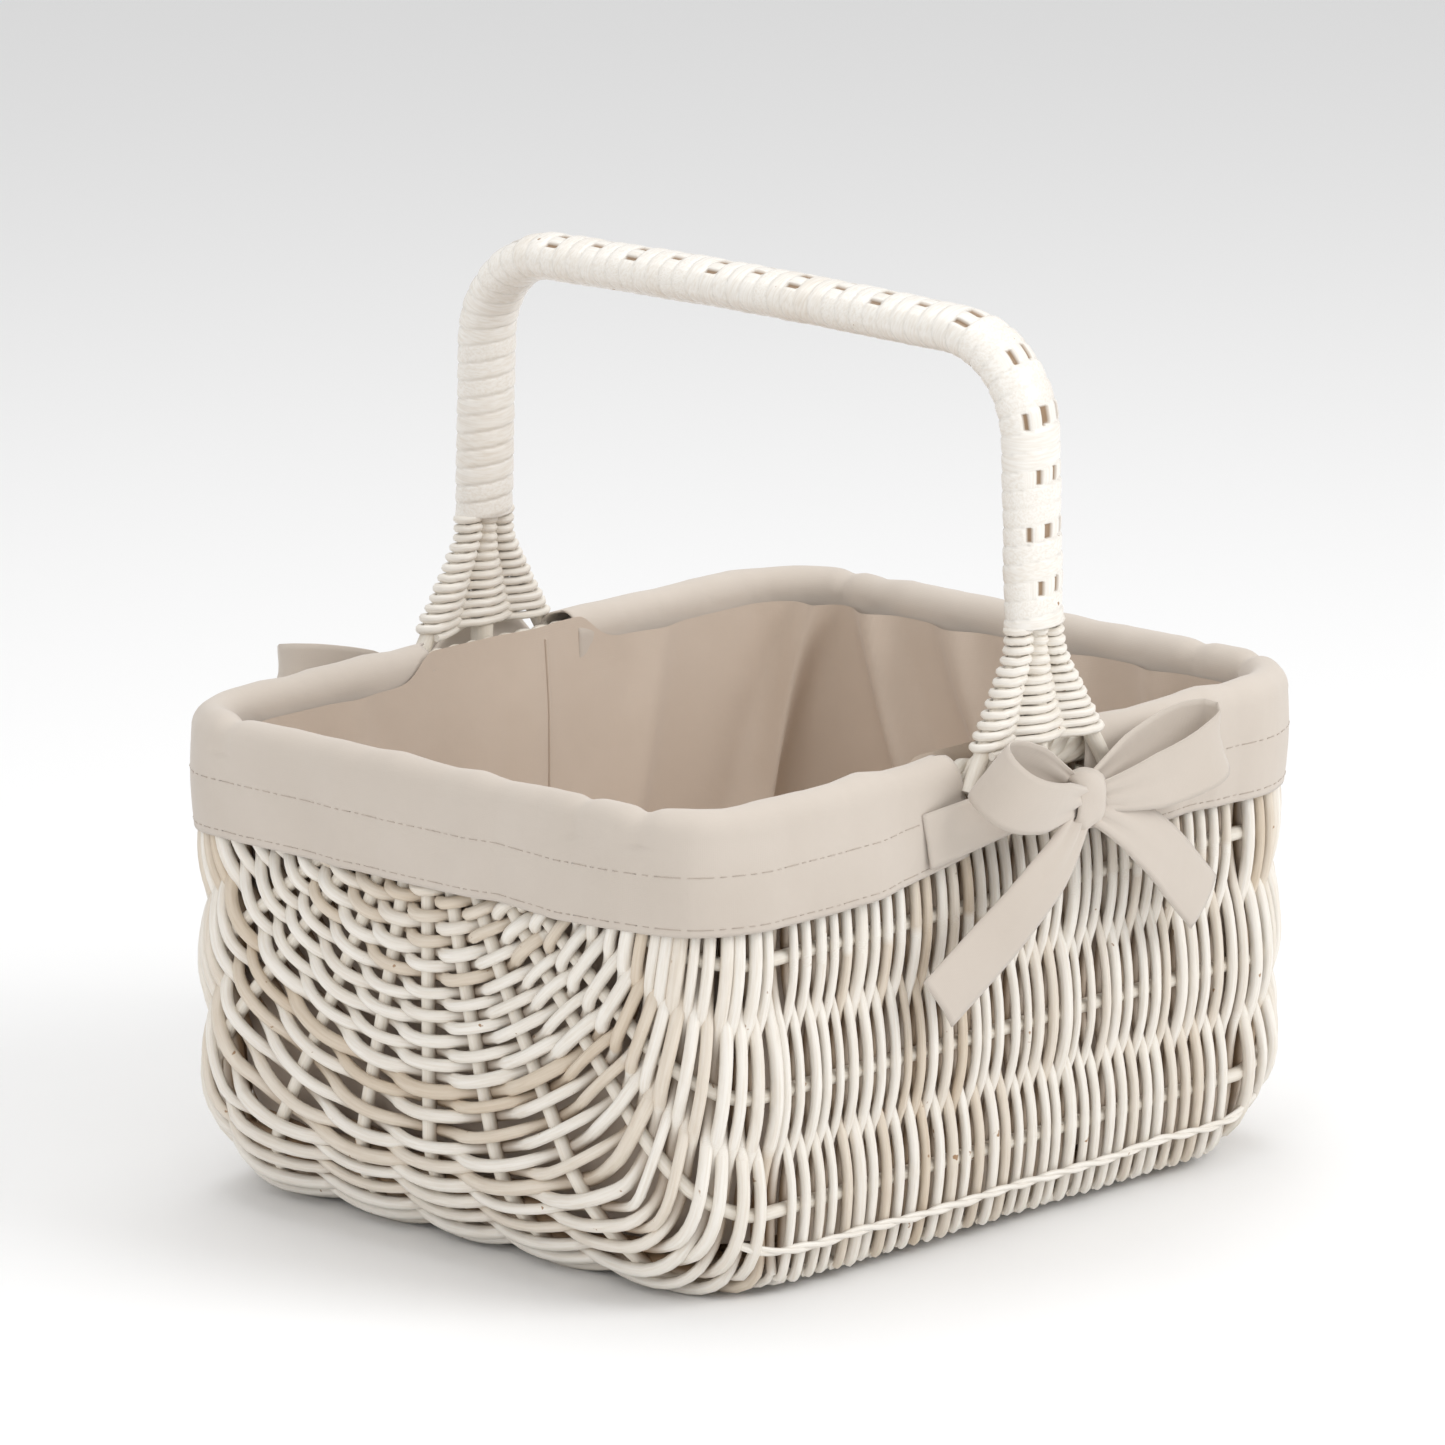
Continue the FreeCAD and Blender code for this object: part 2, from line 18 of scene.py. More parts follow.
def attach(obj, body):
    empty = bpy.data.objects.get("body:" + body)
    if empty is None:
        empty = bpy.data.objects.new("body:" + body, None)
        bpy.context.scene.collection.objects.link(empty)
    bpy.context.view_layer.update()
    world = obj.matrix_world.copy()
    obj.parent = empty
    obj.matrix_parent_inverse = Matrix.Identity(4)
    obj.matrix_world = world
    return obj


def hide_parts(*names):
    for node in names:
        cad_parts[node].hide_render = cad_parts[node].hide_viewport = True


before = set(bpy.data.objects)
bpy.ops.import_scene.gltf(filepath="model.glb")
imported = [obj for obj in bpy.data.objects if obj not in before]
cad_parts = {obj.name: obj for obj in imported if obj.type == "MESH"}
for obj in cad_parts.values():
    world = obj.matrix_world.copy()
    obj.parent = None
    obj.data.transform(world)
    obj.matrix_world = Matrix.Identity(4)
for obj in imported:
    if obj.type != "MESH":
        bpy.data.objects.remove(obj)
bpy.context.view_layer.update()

# %% [markdown]
# ## Camera, floor and light
#
# A long lens far away keeps the long edges nearly parallel, as in a catalogue view.
# Large soft lamps over a pale floor give faint shadows, so small strokes still show relief.

# %% Camera
VIEW_TURN = math.radians(-47.03)
VIEW_RISE = math.radians(13.42)
VIEW_DISTANCE = 5.0

towards = Vector((
    math.sin(VIEW_TURN) * math.cos(VIEW_RISE),
    -math.cos(VIEW_TURN) * math.cos(VIEW_RISE),
    math.sin(VIEW_RISE),
))
sideways = Vector((math.cos(VIEW_TURN), math.sin(VIEW_TURN), 0))
upwards = towards.cross(sideways)
target = Vector((0, 0, 0.205)) + sideways * -0.0096 + upwards * 0.0039

camera_data = bpy.data.cameras.new("camera")
camera_data.lens = 273.95
camera_data.sensor_width = 36
camera_data.clip_end = 50
camera = bpy.data.objects.new("camera", camera_data)
camera.matrix_world = Matrix((sideways, upwards, towards)).transposed().to_4x4()
camera.location = target + towards * VIEW_DISTANCE
bpy.context.scene.collection.objects.link(camera)
bpy.context.scene.camera = camera
print("camera at", [round(v, 3) for v in camera.location])

# %% Floor and lamps
def add_object(name, data):
    """Put a data block in the scene under its own name."""
    obj = bpy.data.objects.new(name, data)
    bpy.context.scene.collection.objects.link(obj)
    return obj


floor_bm = bmesh.new()
bmesh.ops.create_grid(floor_bm, x_segments=2, y_segments=2, size=20)
floor_mesh = bpy.data.meshes.new("floor")
floor_bm.to_mesh(floor_mesh)
floor_bm.free()
floor = add_object("floor", floor_mesh)
floor_paint = bpy.data.materials.new("pale floor")
floor_paint.use_nodes = True
floor_shader = floor_paint.node_tree.nodes["Principled BSDF"]
floor_shader.inputs["Base Color"].default_value = (0.93, 0.93, 0.93, 1)
floor_shader.inputs["Roughness"].default_value = 0.9
floor_mesh.materials.append(floor_paint)


def soft_lamp(name, place, aim, width, power):
    """Square area lamp at a place, turned to face a point."""
    lamp = bpy.data.lights.new(name, "AREA")
    lamp.shape = "SQUARE"
    lamp.size = width
    lamp.energy = power
    obj = add_object(name, lamp)
    obj.location = place
    obj.rotation_euler = (Vector(aim) - Vector(place)).to_track_quat("-Z", "Y").to_euler()
    return obj


middle = (0, 0, 0.15)
soft_lamp("lamp_right", (0.9, -2.0, 1.7), middle, 1.4, 30)
soft_lamp("lamp_left", (-2.2, -0.6, 1.3), middle, 1.6, 12)
soft_lamp("lamp_above", (0.2, 0.5, 2.4), middle, 1.6, 17)

world = bpy.data.worlds.new("studio")
bpy.context.scene.world = world
world.use_nodes = True
world.node_tree.nodes["Background"].inputs["Color"].default_value = (1, 1, 1, 1)
world.node_tree.nodes["Background"].inputs["Strength"].default_value = 0.66
bpy.context.scene.view_settings.view_transform = "Standard"

# %% [markdown]
# ## Painted willow
#
# Sprayed white paint sits thinly on willow, so each rod is a little different in tone, with
# faint grain along it and small brown specks where a bud or a bark scar shows through.
# Every rod carries its own `tone` number and a `grain` place, so one material serves all.

# %% Painted willow material
SPECK_BROWN = (0.36, 0.22, 0.12)
BARE_AND_SHADE_BROWN = (0.33, 0.22, 0.13)
# Brown for willow deep inside the wall: painted shade in the gaps of the weave, partly the brown of
# unpainted willow there.
WINDOW_SHADE_BROWN = (0.30, 0.20, 0.12)
# Dark brown for the small windows in the handle binding: painted shade.


def new_material(name):
    material = bpy.data.materials.new(name)
    material.use_nodes = True
    return material, material.node_tree.nodes, material.node_tree.links


def add_ramp(nodes, links, factor, stops):
    """Colour ramp with its stops given as (position, colour)."""
    ramp = nodes.new("ShaderNodeValToRGB")
    links.new(factor, ramp.inputs["Fac"])
    elements = ramp.color_ramp.elements
    while len(elements) < len(stops):
        elements.new(0.5)
    for element, (position, colour) in zip(elements, stops):
        element.position = position
        element.color = (*colour, 1)
    return ramp.outputs["Color"]


def add_noise(nodes, links, vector, scale, detail):
    """Noise that reads a coordinate."""
    noise = nodes.new("ShaderNodeTexNoise")
    noise.inputs["Scale"].default_value = scale
    noise.inputs["Detail"].default_value = detail
    links.new(vector, noise.inputs["Vector"])
    return noise


def add_attribute(nodes, name):
    attribute = nodes.new("ShaderNodeAttribute")
    attribute.attribute_name = name
    return attribute


def add_bump(nodes, links, height, strength, distance):
    bump = nodes.new("ShaderNodeBump")
    bump.inputs["Strength"].default_value = strength
    bump.inputs["Distance"].default_value = distance
    links.new(height, bump.inputs["Height"])
    return bump


def mix_over(nodes, links, factor, below, colour):
    """Lay one plain colour over another colour where the factor is 1."""
    mix = nodes.new("ShaderNodeMix")
    mix.data_type = "RGBA"
    mix.inputs["B"].default_value = (*colour, 1)
    links.new(factor, mix.inputs["Factor"])
    links.new(below, mix.inputs["A"])
    return mix.outputs["Result"]


def willow_paint(name, light, dark, gloss, speck):
    """White paint on willow, from its lightest to its most worn tone."""
    material, nodes, links = new_material(name)
    shader = nodes["Principled BSDF"]
    shader.inputs["Roughness"].default_value = gloss
    shader.inputs["Specular IOR Level"].default_value = 0.45

    tone = add_attribute(nodes, "tone")
    grain = add_attribute(nodes, "grain")
    places = nodes.new("ShaderNodeTexCoord")

    stops = [(0.0, dark), (0.45, light), (1.0, light)]
    tone_colour = add_ramp(nodes, links, tone.outputs["Fac"], stops)

    streaks = add_noise(nodes, links, grain.outputs["Vector"], 3, 4)
    stops = [(0.32, (0.80, 0.74, 0.66)), (0.60, (1, 1, 1))]
    streak_colour = add_ramp(nodes, links, streaks.outputs["Fac"], stops)
    streaked = nodes.new("ShaderNodeMix")
    streaked.data_type = "RGBA"
    streaked.blend_type = "MULTIPLY"
    streaked.inputs["Factor"].default_value = 0.45
    links.new(tone_colour, streaked.inputs["A"])
    links.new(streak_colour, streaked.inputs["B"])

    specks = add_noise(nodes, links, places.outputs["Object"], 170, 2)
    stops = [(speck, (0, 0, 0)), (speck + 0.03, (1, 1, 1))]
    speck_mask = add_ramp(nodes, links, specks.outputs["Fac"], stops)
    marked = mix_over(nodes, links, speck_mask, streaked.outputs["Result"], SPECK_BROWN)
    # Deep parts of the rods turn brown: painted shade in the gaps, partly unpainted willow.
    bare_and_shade = add_attribute(nodes, "bare_and_shade")
    bare_and_shaded = mix_over(nodes, links, bare_and_shade.outputs["Fac"], marked, BARE_AND_SHADE_BROWN)
    links.new(bare_and_shaded, shader.inputs["Base Color"])

    relief = add_bump(nodes, links, streaks.outputs["Fac"], 0.2, 0.0003)
    links.new(relief.outputs["Normal"], shader.inputs["Normal"])
    return material


paint_weave = willow_paint("painted weave", (0.86, 0.82, 0.755), (0.66, 0.56, 0.44), 0.42, 0.74)
paint_rods = willow_paint("painted rods", (0.80, 0.75, 0.67), (0.58, 0.47, 0.36), 0.45, 0.74)
paint_skein = willow_paint("painted skein", (0.87, 0.84, 0.79), (0.74, 0.66, 0.56), 0.27, 0.76)
print("materials", [m.name for m in bpy.data.materials])

# %% [markdown]
# ## Lengths of willow
#
# A rod is a line with a thickness, so a curve with a round bevel is the natural tool. One curve
# object holds many splines and turns into one mesh. The mesh then gets the tone of each rod
# and a grain coordinate that runs along it.

# %% A bundle of willow rods
ROD_SIDES_LEVEL = 1
# Depth and range below the wall surface where the painted shade (partly bare willow) comes in.
BARE_AND_SHADE_RANGE = 0.005
BARE_AND_SHADE_DEPTH = 0.0068


def willow_bundle(name, rods, sides_level=ROD_SIDES_LEVEL, bare_and_shade_below=None):
    """Mesh object of many rods; each rod is (points, radii, tone)."""
    curve = bpy.data.curves.new(name, "CURVE")
    curve.dimensions = "3D"
    curve.bevel_depth = 1.0
    curve.bevel_resolution = sides_level
    curve.use_fill_caps = True
    for points, radii, tone in rods:
        spline = curve.splines.new("POLY")
        spline.points.add(len(points) - 1)
        flat = np.ones((len(points), 4), dtype=np.float32)
        flat[:, :3] = points
        spline.points.foreach_set("co", flat.ravel())
        spline.points.foreach_set("radius", np.asarray(radii, dtype=np.float32))
        spline.use_smooth = True
    holder = bpy.data.objects.new(name + "_line", curve)
    mesh = bpy.data.meshes.new_from_object(holder)
    mesh.name = name
    bpy.data.objects.remove(holder)
    bpy.data.curves.remove(curve)

    stations = sum(len(points) for points, _, _ in rods)
    sides = len(mesh.vertices) // stations
    tones, grain = [], []
    for points, radii, tone in rods:
        points = np.asarray(points)
        steps = np.linalg.norm(np.diff(points, axis=0), axis=1)
        length = np.concatenate([[0], np.cumsum(steps)])
        tones.append(np.full(len(points) * sides, tone))
        turn = np.tile(np.linspace(0, 2 * math.pi, sides, endpoint=False), len(points))
        block = np.empty((len(points) * sides, 3))
        block[:, 0] = np.repeat(length, sides) * 20 + tone * 50
        block[:, 1] = np.cos(turn) * 0.9 + tone * 31
        block[:, 2] = np.sin(turn) * 0.9
        grain.append(block)
    count = len(mesh.vertices)
    tone_values = np.resize(np.concatenate(tones), count).astype(np.float32)
    grain_values = np.resize(np.concatenate(grain), (count, 3)).astype(np.float32)
    mesh.attributes.new("tone", "FLOAT", "POINT").data.foreach_set("value", tone_values)
    grain_layer = mesh.attributes.new("grain", "FLOAT_VECTOR", "POINT")
    grain_layer.data.foreach_set("vector", grain_values.ravel())
    # Mask that grows with depth below the wall surface: painted shade in the gaps of the weave, partly
    # unpainted willow.
    if bare_and_shade_below:
        corners = np.empty(count * 3, dtype=np.float32)
        mesh.vertices.foreach_get("co", corners)
        depth = -wall_distance(corners.reshape(-1, 3).astype(float))
        bare_and_shade = np.clip((depth - bare_and_shade_below) / BARE_AND_SHADE_RANGE, 0, 1)
        bare_and_shade_layer = mesh.attributes.new("bare_and_shade", "FLOAT", "POINT")
        bare_and_shade_layer.data.foreach_set("value", bare_and_shade.astype(np.float32))
    obj = add_object(name, mesh)
    print(name, len(rods), "rods,", sides, "sides,", len(mesh.polygons), "faces")
    return obj


def finish_piece(obj, material, slot, *nodes):
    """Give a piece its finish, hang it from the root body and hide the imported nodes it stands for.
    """
    obj.data.materials.clear()
    obj.data.materials.append(material)
    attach(obj, "root")
    if nodes:
        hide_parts(*nodes)


# %% [markdown]
# ## The form of the wall
#
# A basket has no straight line in it, so its wall is described as a distance field: a rounded
# rectangle whose half length, half width and corner change with height, cut off by the floor
# with a soft edge. Rays sent out from a line under the rim find the surface, and the slope of
# the field gives the way out of the wall. Ribs and weavers both use this one form.

# %% Distance to the wall
MM = 0.001
HALF_LENGTH = 212 * MM
HALF_WIDTH = 167 * MM
WALL_TOP = 209 * MM
RIM_Z = 216.8 * MM
CORNER = 50 * MM
END_INSET = 32 * MM
SIDE_INSET = 5 * MM
TURN_HEIGHT = 55 * MM
SWELL = 0.8 * MM
FLOOR_EDGE = 9 * MM


def soft_max(a, b, blend):
    h = np.maximum(blend - np.abs(a - b), 0) / blend
    return np.maximum(a, b) + h * h * blend / 4


def wall_distance(p):
    """Signed distance from points to the outer surface of the wall, below 0 inside."""
    x, y, z = p[..., 0], p[..., 1], p[..., 2]
    turn = np.clip(1 - z / TURN_HEIGHT, 0, 1.3)
    rise = np.clip(z / WALL_TOP, 0, 1)
    swell = SWELL * 4 * rise * (1 - rise)
    a = HALF_LENGTH + swell - END_INSET * turn ** 2 - CORNER
    b = HALF_WIDTH + swell - SIDE_INSET * turn ** 2 - CORNER
    qx, qy = np.abs(x) - a, np.abs(y) - b
    outside = np.hypot(np.maximum(qx, 0), np.maximum(qy, 0))
    across = outside + np.minimum(np.maximum(qx, qy), 0) - CORNER
    return soft_max(across, -z, FLOOR_EDGE)


def wall_normal(p):
    """Way out of the wall at points."""
    step = 0.4 * MM
    grad = np.empty_like(p)
    for axis in range(3):
        shift = np.zeros(3)
        shift[axis] = step
        grad[..., axis] = wall_distance(p + shift) - wall_distance(p - shift)
    return grad / np.maximum(np.linalg.norm(grad, axis=-1, keepdims=True), 1e-9)


def reach_wall(start, direction):
    """Follow rays from inside until they meet the outer surface."""
    direction = direction / np.linalg.norm(direction, axis=-1, keepdims=True)
    travel = np.zeros(start.shape[:-1])
    for _ in range(70):
        gap = wall_distance(start + direction * travel[..., None])
        travel = travel - gap * 0.8
    return start + direction * travel[..., None]


# %% [markdown]
# ## Rows and ribs as coordinates
#
# `row` counts along the basket and `turn` goes round it, from the front rim at 0 under the
# floor to the back rim at 180 degrees. Body rows lie in upright planes. End rows are nested
# in a U round the middle of the end, where every rib starts.

# %% Rows and turns
BODY_HALF = 150 * MM
FAN_HALF = 34 * MM


def body_point(x, turn):
    """Wall surface for a body row at x."""
    start = np.zeros(turn.shape + (3,))
    start[..., 0] = x
    start[..., 2] = RIM_Z
    way = np.stack([np.zeros_like(turn), -np.cos(turn), -np.sin(turn)], axis=-1)
    return reach_wall(start, way)


def end_point(side, fan, turn):
    """Wall surface for an end row; fan goes from 0 at the rim's middle to a quarter turn."""
    fan = np.broadcast_to(fan, turn.shape)
    start = np.zeros(turn.shape + (3,))
    start[..., 0] = side * BODY_HALF
    start[..., 1] = -np.cos(turn) * FAN_HALF * (1 - np.sin(fan))
    start[..., 2] = RIM_Z
    way = np.stack([
        side * np.cos(fan),
        -np.cos(turn) * np.sin(fan),
        -np.sin(turn) * np.sin(fan),
    ], axis=-1)
    return reach_wall(start, way)


def end_fans(side, pitch):
    """Fan angles that set end rows about one pitch apart."""
    fans = np.linspace(0.0, math.pi / 2, 500)
    total = np.zeros_like(fans)
    for turn in (25, 60, 90):
        points = end_point(side, fans, np.full_like(fans, math.radians(turn)))
        steps = np.linalg.norm(np.diff(points, axis=0), axis=1)
        total += np.concatenate([[0], np.cumsum(steps)])
    total /= 3
    wanted = np.arange(pitch * 1.2, total[-1] - pitch * 0.5, pitch)
    return np.interp(wanted, total, fans)


# Ribs in degrees of turn: three on each long side, two on each half floor and the keel.
RIB_TURNS = [0, 20, 36, 46.5, 61.5, 76, 90, 104, 118.5, 133.5, 144, 160, 180]
RIB_RADIUS = 3.3 * MM
MID_DEPTH = 7.6 * MM
STROKE = 4.7 * MM
END_PITCH = 5.5 * MM


def rib_coordinate(turn):
    """Count of ribs passed on the way round, with fractions between ribs."""
    return np.interp(np.degrees(turn), RIB_TURNS, np.arange(len(RIB_TURNS)))


print("end rows", len(end_fans(-1, END_PITCH)))

# %% [markdown]
# ## Weaving
#
# Each weaver goes over one rib and under the next, and the row beside it does the opposite.
# A cosine of the rib count gives that path. Real rods taper, differ in thickness and wander,
# so every row gets its own radius, phase shift and a little slow noise, all from one seed.

# %% Weavers
rng = np.random.default_rng(7)
DEEPEST_TURN = math.radians(5)


def slow_noise(length, scale, amount):
    """Smooth random walk along a rod."""
    knots = max(3, int(length / scale))
    values = rng.normal(0, amount, knots)
    return np.interp(np.linspace(0, knots - 1, length), np.arange(knots), values)


def weave_row(surface, turns, parity, radius, shift):
    """One weaver over the surface, given as a function of turn."""
    base = surface(turns)
    out = wall_normal(base)
    wave = np.cos(math.pi * rib_coordinate(turns) + parity * math.pi)
    wave = np.sign(wave) * np.abs(wave) ** 0.8
    depth = MID_DEPTH - STROKE * wave + slow_noise(len(turns), 16, 0.3 * MM)
    points = base - out * depth[:, None]
    ahead = np.gradient(points, axis=0)
    ahead /= np.maximum(np.linalg.norm(ahead, axis=1, keepdims=True), 1e-9)
    aside = np.cross(ahead, out)
    points += aside * (shift + slow_noise(len(turns), 14, 0.45 * MM))[:, None]
    radii = radius * (1 + slow_noise(len(turns), 20, 0.05))
    return points, radii


def turn_samples(low, high, each):
    """Turns between two angles with a set number of samples between ribs."""
    marks = [t for t in RIB_TURNS if low < t < high]
    marks = [low] + marks + [high]
    parts = [np.linspace(a, b, each, endpoint=False) for a, b in zip(marks[:-1], marks[1:])]
    return np.radians(np.concatenate(parts + [[high]]))


FRONT_TURNS = turn_samples(3, 53, 9)
FLOOR_TURNS = turn_samples(53, 127, 7)
BACK_TURNS = turn_samples(127, 177, 9)

front_rods, floor_rods, back_rods = [], [], []
BODY_PITCH = 4.4 * MM
body_count = int(2 * BODY_HALF / BODY_PITCH) + 1
for index, x in enumerate(np.linspace(-BODY_HALF, BODY_HALF, body_count)):
    radius = float(np.clip(rng.normal(2.42, 0.22), 1.6, 2.9)) * MM
    tone = float(rng.uniform(0, 1))
    shift = rng.normal(0, 0.35 * MM)
    for turns, kept in ((FRONT_TURNS, front_rods), (FLOOR_TURNS, floor_rods), (BACK_TURNS, back_rods)):
        points, radii = weave_row(lambda t: body_point(x, t), turns, index % 2, radius, shift)
        kept.append((points, radii, tone))

weave_front = willow_bundle("weave_side_front_rods", front_rods, 2, bare_and_shade_below=BARE_AND_SHADE_DEPTH)
weave_back = willow_bundle("weave_side_back_rods", back_rods, 2, bare_and_shade_below=BARE_AND_SHADE_DEPTH)
weave_floor = willow_bundle("weave_base_rods", floor_rods, bare_and_shade_below=BARE_AND_SHADE_DEPTH)
finish_piece(weave_front, paint_weave, "willow_weave", "weave_side_front")
finish_piece(weave_back, paint_weave, "willow_weave", "weave_side_back")
finish_piece(weave_floor, paint_weave, "willow_weave", "weave_base")

for side, name in ((-1, "left"), (1, "right")):
    rods = []
    for index, fan in enumerate(end_fans(side, END_PITCH)):
        radius = float(np.clip(rng.normal(2.9, 0.25), 2.0, 3.4)) * MM
        turns = turn_samples(3, 177, 9)
        points, radii = weave_row(
            lambda t: end_point(side, fan, t), turns, index % 2, radius, rng.normal(0, 0.4 * MM)
        )
        rods.append((points, radii, float(rng.uniform(0, 1))))
    piece = willow_bundle("weave_end_%s_rods" % name, rods, 2, bare_and_shade_below=BARE_AND_SHADE_DEPTH)
    finish_piece(piece, paint_weave, "willow_weave", "weave_end_" + name)

# %% [markdown]
# ## Ribs
#
# A rib keeps one turn all the way, so it starts in the middle of one end, fans out, runs
# along the side or the floor and comes back to the middle of the other end.

# %% Ribs
RIB_NAMES = {
    1: "rib_upper_front", 2: "rib_middle_front", 3: "rib_lower_front",
    4: "rib_outer_front", 5: "rib_inner_front", 6: "rib_keel",
    7: "rib_inner_back", 8: "rib_outer_back", 9: "rib_lower_back",
    10: "rib_middle_back", 11: "rib_upper_back",
}


def fan_line(turn, fans, body_steps):
    """Line at one turn: out from one end, along the body and in to the other end."""
    left = end_point(-1, fans, np.full_like(fans, turn))
    middle_x = np.linspace(-BODY_HALF, BODY_HALF, body_steps)[1:-1]
    along = np.array([body_point(x, np.array([turn]))[0] for x in middle_x])
    right = end_point(1, fans[::-1], np.full_like(fans, turn))
    return np.concatenate([left, along, right])


for number, node in RIB_NAMES.items():
    turn = math.radians(RIB_TURNS[number])
    line = fan_line(turn, np.linspace(0.14, math.pi / 2, 40), 30)
    line -= wall_normal(line) * MID_DEPTH
    rod = (line, np.full(len(line), RIB_RADIUS), 0.5)
    piece = willow_bundle(node + "_rod", [rod], 3, bare_and_shade_below=BARE_AND_SHADE_DEPTH)
    finish_piece(piece, paint_rods, "willow_rods", node)

# %% [markdown]
# ## Foot twist
#
# Low on each long side the weaver ends are twisted together into a thin raised line. Two
# strands turning round one line, laid just proud of the wall, make it.

# %% Foot twist
TWIST_TURN = math.radians(49.6)
TWIST_OUT = 0.6 * MM
TWIST_SINK = 5 * MM
TWIST_COUNT = 9
TWIST_ORBIT = 0.9 * MM
TWIST_STRAND = 1.35 * MM
for front, name in ((1, "front"), (-1, "back")):
    turn = TWIST_TURN if front > 0 else math.pi - TWIST_TURN
    line = fan_line(turn, np.linspace(math.radians(84), math.pi / 2, 12), 200)
    line[:, 2] += slow_noise(len(line), 20, 0.8 * MM)
    out = wall_normal(line)
    ahead = np.gradient(line, axis=0)
    ahead /= np.linalg.norm(ahead, axis=1, keepdims=True)
    aside = np.cross(ahead, out)
    rods = []
    for strand in (0, math.pi):
        angle = np.linspace(0, 2 * math.pi * TWIST_COUNT, len(line)) + strand
        circle = out * np.cos(angle)[:, None] + aside * np.sin(angle)[:, None]
        to_end = np.minimum(np.arange(len(line)), np.arange(len(line))[::-1]) / 14
        sink = TWIST_SINK * np.exp(-to_end ** 2)
        points = line + out * (TWIST_OUT - sink)[:, None] + circle * TWIST_ORBIT
        rods.append((points, TWIST_STRAND * (1 + slow_noise(len(line), 15, 0.08)), 0.55))
    piece = willow_bundle("foot_twist_%s_strands" % name, rods, 1)
    finish_piece(piece, paint_weave, "willow_weave", "foot_twist_" + name)

# %% [markdown]
# ## Rim roll
#
# The tops of the weavers are rolled into a rope that lies on the wall. The lining hides it,
# except between the cuffs at each foot of the handle. Five strands twisted round one line
# give the slanted wraps that show there.

# %% Rim roll
RIM_HALF_L = 205.2 * MM
RIM_HALF_W = 160.2 * MM
RIM_CORNER = 43.2 * MM
TRACK_STEPS = 700
ROLL_STRANDS = 5
ROLL_TURNS = 24
STRAND_ORBIT = 4.0 * MM
STRAND_RADIUS = 3.3 * MM


def rounded_place(s, half_l, half_w, corner):
    """Point and outward direction at a run along a rounded rectangle."""
    arc = math.pi / 2 * corner
    for quarter in range(4):
        along = 2 * ((half_l if quarter % 2 == 0 else half_w) - corner)
        angle = math.pi / 2 * quarter
        forward = np.array([math.cos(angle), math.sin(angle)])
        outward = np.array([forward[1], -forward[0]])
        depth = half_w if quarter % 2 == 0 else half_l
        if s <= along:
            return outward * depth + forward * (s - along / 2), outward
        s -= along
        if s <= arc or quarter == 3:
            bend = min(s, arc) / corner
            way = outward * math.cos(bend) + forward * math.sin(bend)
            return outward * (depth - corner) + forward * (along / 2) + way * corner, way
        s -= arc


def rounded_length(half_l, half_w, corner):
    return 2 * (2 * (half_l - corner) + 2 * (half_w - corner)) + 4 * (math.pi / 2 * corner)


rim = (RIM_HALF_L, RIM_HALF_W, RIM_CORNER)
runs = np.linspace(0, rounded_length(*rim), TRACK_STEPS, endpoint=False)
track, track_out = (np.array(part) for part in zip(*(rounded_place(s, *rim) for s in runs)))
strands = []
for strand in range(ROLL_STRANDS):
    angle = np.linspace(0, 2 * math.pi * ROLL_TURNS, TRACK_STEPS + 1)[:TRACK_STEPS]
    angle = angle + strand * 2 * math.pi / ROLL_STRANDS
    points = np.empty((TRACK_STEPS, 3))
    points[:, :2] = track + track_out * (STRAND_ORBIT * np.cos(angle))[:, None]
    points[:, 2] = RIM_Z + STRAND_ORBIT * np.sin(angle)
    points = np.vstack([points, points[:1]])
    strands.append((points, np.full(len(points), STRAND_RADIUS), float(rng.uniform(0.3, 1))))
rim_roll = willow_bundle("rim_roll_strands", strands, 1)
finish_piece(rim_roll, paint_rods, "willow_rods", "rim_roll")

# %% [markdown]
# ## Handle line
#
# The handle is one flat hoop: two legs that lean in a little, two bends and a grip with a
# slight arch. Everything on it follows the same line, so the line is worked out once, with the
# tangent and the direction that looks away from the basket.

# %% Handle line
GRIP_Z = 407 * MM
BEND = 44 * MM
LEG_FOOT = 172 * MM
LEG_TOP = 166 * MM
HANDLE_X = 6 * MM
ROD_LOW = 211.5 * MM
FOOT_LOW = 226.2 * MM
FOOT_HIGH = 282.2 * MM
GRIP_ARCH = 2 * MM
leg_lean = math.atan2(LEG_FOOT - LEG_TOP, GRIP_Z - ROD_LOW)


def leg_out(z):
    return LEG_FOOT - (LEG_FOOT - LEG_TOP) * (z - ROD_LOW) / (GRIP_Z - ROD_LOW)


def handle_line(low, count):
    """Evenly spaced points from the front foot over the grip to the back foot."""
    turn = math.pi / 2 - leg_lean
    reach = BEND * math.tan(turn / 2)
    top_y = LEG_TOP - reach
    coarse = [(-leg_out(low), low)]
    for k in range(17):
        angle = leg_lean + turn * k / 16
        coarse.append((-(top_y + BEND * math.cos(angle)), GRIP_Z - BEND + BEND * math.sin(angle)))
    coarse = np.array(coarse)
    mid = np.array([[y, GRIP_Z] for y in np.linspace(-top_y, top_y, 40)[1:-1]])
    line = np.vstack([coarse, mid, coarse[::-1] * [-1, 1]])
    line[:, 1] += GRIP_ARCH * np.cos(np.clip(line[:, 0] / LEG_TOP, -1, 1) * math.pi / 2) ** 1.5
    run = np.concatenate([[0], np.cumsum(np.linalg.norm(np.diff(line, axis=0), axis=1))])
    wanted = np.linspace(0, run[-1], count)
    y = np.interp(wanted, run, line[:, 0])
    z = np.interp(wanted, run, line[:, 1])
    return np.stack([np.full(count, HANDLE_X), y, z], axis=1), wanted


